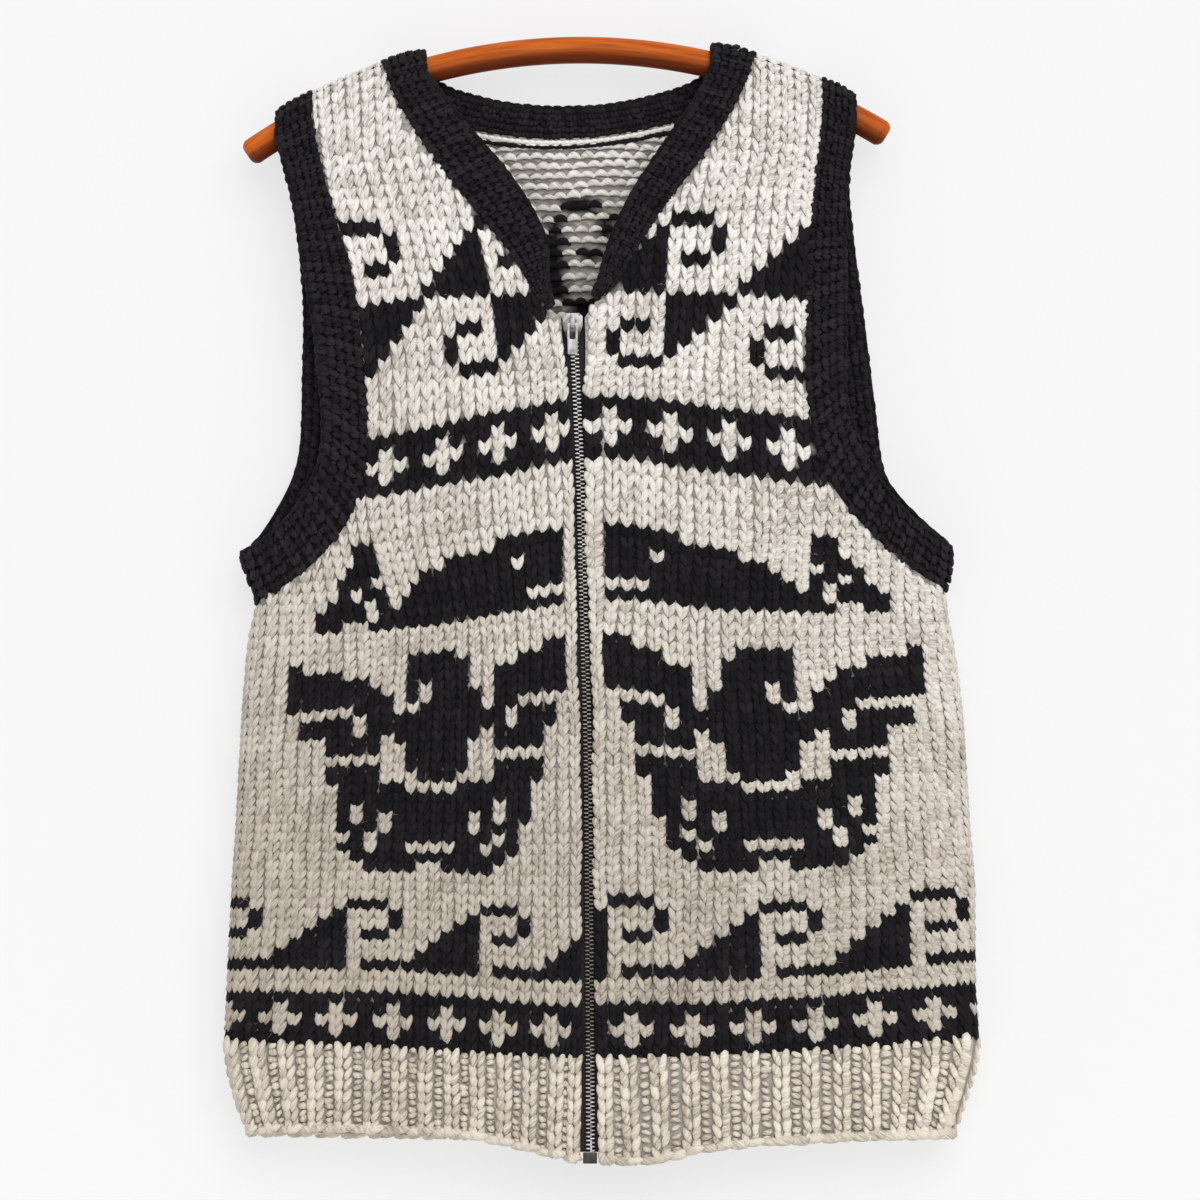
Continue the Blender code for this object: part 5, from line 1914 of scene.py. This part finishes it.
def zip_tape(side, material):
    """One tape with its corded edge."""
    sign = SIGN[side]
    z = np.linspace(ZIP_BOTTOM, TAPE_TOP, 220)
    columns, front = (np.array([row[name] for row in TAPE_SECTION]) for name in ("across", "depth"))
    x, level = np.meshgrid(sign * columns, z)
    outer = zip_point(x, level, TAPE_DEPTH + front[None, :])
    inner = zip_point(x, level, np.full(x.shape, TAPE_DEPTH + TAPE_WALL * 0.85))
    obj = grid_mesh("tape_" + side, outer, inner)
    obj.data.materials.append(material)
    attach(obj, BODY)
    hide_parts("zip_tape_" + side)
    return obj


def softened(node, name, material, body, slot, width):
    """A worked copy of a metal part, with its edges rounded over."""
    obj = new_object(name, bpy.data.objects[node].data.copy())
    only(obj)
    bpy.ops.object.mode_set(mode="EDIT")
    bpy.ops.mesh.select_all(action="SELECT")
    bpy.ops.mesh.remove_doubles(threshold=0.00001)
    bpy.ops.mesh.dissolve_limited(angle_limit=radians(2))
    bpy.ops.object.mode_set(mode="OBJECT")
    bevel = obj.modifiers.new("rounding", "BEVEL")
    bevel.width = width * MM
    bevel.segments = 3
    bevel.limit_method = "ANGLE"
    bevel.angle_limit = radians(35)
    bpy.ops.object.modifier_apply(modifier=bevel.name)
    bpy.ops.object.shade_smooth_by_angle(angle=radians(35))
    return finish_piece(obj, name, material, body, slot, node)


# Stage
WALL_DEPTH = 29.0
FLOOR_LEVEL = -860.0
VIEW_X = 24.1
VIEW_Z = -377.2
VIEW_HEIGHT = 804.0
VIEW_DISTANCE = 8.0
SENSOR = 36.0
STAGE_REACH = 6000.0
WALL_TOP = 3000.0
SUN_ENERGY = 1.75
SUN_WIDTH = radians(50)
SUN_AIM = Vector((-0.20, 0.85, -0.50))
SKY_STRENGTH = 0.56


def studio_wall():
    """Pale wall that only a viewer in front of it sees."""
    finish = Finish("studio_wall")
    clear = finish.node("ShaderNodeBsdfTransparent")
    behind = finish.node("ShaderNodeNewGeometry", None, None, out=6)
    finish.set(Base_Color=(0.24, 0.24, 0.24, 1), Roughness=0.95, Specular_IOR_Level=0.0)
    finish.set(Emission_Color=(1, 1, 1, 1), Emission_Strength=0.67)
    shader = Value(finish, finish.shader.outputs[0])
    mixed = finish.node("ShaderNodeMixShader", None, {0: behind, 1: shader, 2: clear})
    finish.tree.links.new(mixed.socket, finish.tree.nodes["Material Output"].inputs[0])
    return finish.material


def studio_floor():
    finish = Finish("studio_floor")
    cloud = finish.noise(finish.object_place(), 3.0, 2.0)
    finish.set(
        Base_Color=finish.ramp(cloud, (0.3, (0.86, 0.86, 0.86)), (0.7, (0.90, 0.90, 0.90))),
        Roughness=cloud * 0.1 + 0.8)
    return finish.material


def plane(name, corners, material):
    mesh = bpy.data.meshes.new(name)
    mesh.from_pydata([tuple(c * MM for c in corner) for corner in corners], [], [(0, 1, 2, 3)])
    obj = new_object(name, mesh)
    mesh.materials.append(material)
    return obj


def studio():
    """Floor, wall, sun, pale sky and the camera."""
    left, right = -STAGE_REACH, STAGE_REACH
    plane("floor", [(left, left, FLOOR_LEVEL), (right, left, FLOOR_LEVEL),
                    (right, right, FLOOR_LEVEL), (left, right, FLOOR_LEVEL)], studio_floor())
    plane("wall", [(left, WALL_DEPTH, FLOOR_LEVEL), (right, WALL_DEPTH, FLOOR_LEVEL),
                   (right, WALL_DEPTH, WALL_TOP), (left, WALL_DEPTH, WALL_TOP)], studio_wall())
    sun = bpy.data.lights.new("key", "SUN")
    sun.energy = SUN_ENERGY
    sun.angle = SUN_WIDTH
    key = new_object("key", sun)
    key.rotation_euler = SUN_AIM.to_track_quat("-Z", "Y").to_euler()
    world = bpy.data.worlds.new("studio")
    bpy.context.scene.world = world
    world.use_nodes = True
    sky = world.node_tree.nodes["Background"]
    sky.inputs[0].default_value = (1, 1, 1, 1)
    sky.inputs[1].default_value = SKY_STRENGTH
    camera = bpy.data.cameras.new("camera")
    camera.sensor_width = SENSOR
    camera.lens = SENSOR * VIEW_DISTANCE / (VIEW_HEIGHT * MM)
    camera.clip_end = 50
    eye = new_object("camera", camera)
    eye.location = (VIEW_X * MM, -VIEW_DISTANCE, VIEW_Z * MM)
    eye.rotation_euler = (pi / 2, 0, 0)
    bpy.context.scene.camera = eye
    bpy.context.scene.view_settings.view_transform = "Standard"


def main():
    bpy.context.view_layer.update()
    wools, inside_wool_gap_shade = {"light": body_wool(), "black": black_wool()}, shell_wool_gap_shade()
    nickel = metal("nickel", (0.46, 0.455, 0.45), (0.24, 0.235, 0.23), 0.30)
    # Painted shade: the slider is painted dark from about 10 mm below its top downwards, where it lies
    # in shade.
    painted_slot_shade = ((0.6025, (0.16, 0.16, 0.17)), (0.6055, (0.9, 0.9, 0.9)))
    slider_nickel = metal("nickel_slider", (0.46, 0.455, 0.45), (0.20, 0.195, 0.19), 0.32, painted_slot_shade)
    # Painted reflection: the teeth are painted darker and browner across the body, where they reflect
    # less light, and stay bright in the rib and near the top.
    painted_light_by_height = (
        (0.09, (1, 0.98, 0.95)), (0.14, (0.40, 0.33, 0.30)), (0.38, (0.55, 0.50, 0.47)),
        (0.50, (1, 1, 1)))
    teeth_metal = metal("nickel_teeth_painted_reflection", (0.95, 0.94, 0.92), (0.62, 0.60, 0.58), 0.24, painted_light_by_height)
    gunmetal = metal("gunmetal", (0.085, 0.08, 0.078), (0.04, 0.038, 0.036), 0.36)
    tape = zip_cloth()

    for side in ("left", "right"):
        stitches = panel_stitches("knit_front_" + side, side, wools)
        shell = cloth_shell("cloth_front_" + side, front_grid(side), side, inside_wool_gap_shade, "front_" + side)
    half = WALES["back"] // 2
    stitches = panel_stitches("knit_back_left", "back", wools, (0, half))
    stitches += panel_stitches("knit_back_right", "back", wools, (half, WALES["back"]))
    reverse = Yarn("knit_back_inside", ARCH_LEAF)
    purl_side(reverse)
    neck_cords(reverse)
    stitches += reverse.work(wools)
    shell = cloth_shell("cloth_back", back_grid(), "back", inside_wool_gap_shade, "back")

    ribs = Yarn("knit_hem_rib", PLUMP_LEAF)
    for panel, name in (
            ("left", "hem_rib_front_left"), ("right", "hem_rib_front_right"), ("back", "hem_rib_back")):
        grid, k = rib_cells(panel)
        lift = rib_lift(panel, k) * RIB_SHELL_SHARE
        shell = cloth_shell("cloth_" + name, grid, panel, inside_wool_gap_shade, name, lift)
        rib_stitches(ribs, panel)
        cast_on(ribs, panel)
    ribs.work({"light": rib_wool()})

    bands = Yarn("knit_bands", SLIM_LEAF)
    for side in ("left", "right"):
        front, back = armhole_strip(side, -1), armhole_strip(side, 1)
        path = [(front, True, 0), (back, False, 1)]
        band_shell("armhole_band_%s_core" % side, path, inside_wool_gap_shade, True)
        for strip in (front, back):
            band_stitches(bands, strip)
        band_stitches(bands, back, inner=True)
    left, right, back = neck_strip("left"), neck_strip("right"), back_neck_strip()
    path = [(left, True, 0), (back, True, 1), (right, False, 1)]
    band_shell("neckband_core", path, inside_wool_gap_shade, False)
    for strip in (left, right, back):
        band_stitches(bands, strip)
    band_stitches(bands, back, inner=True)
    bands.work(wools)

    fibres = Yarn("stray_fibres", FIBRE_LEAF)
    for panel in ("left", "right"):
        stray_fibres(fibres, panel, FIBRES)
    fibres.work(wools)

    dowel(varnished_dowel())
    zip_tape("left", tape)
    zip_tape("right", tape)
    zip_teeth(teeth_metal)
    softened("zip_slider", "slider", slider_nickel, BODY, "nickel", 0.25)
    softened("zip_pull_tab", "tab", nickel, TAB_BODY, "nickel", 0.25)
    softened("zip_box", "retainer", gunmetal, BODY, "gunmetal", 0.4)
    studio()


main()
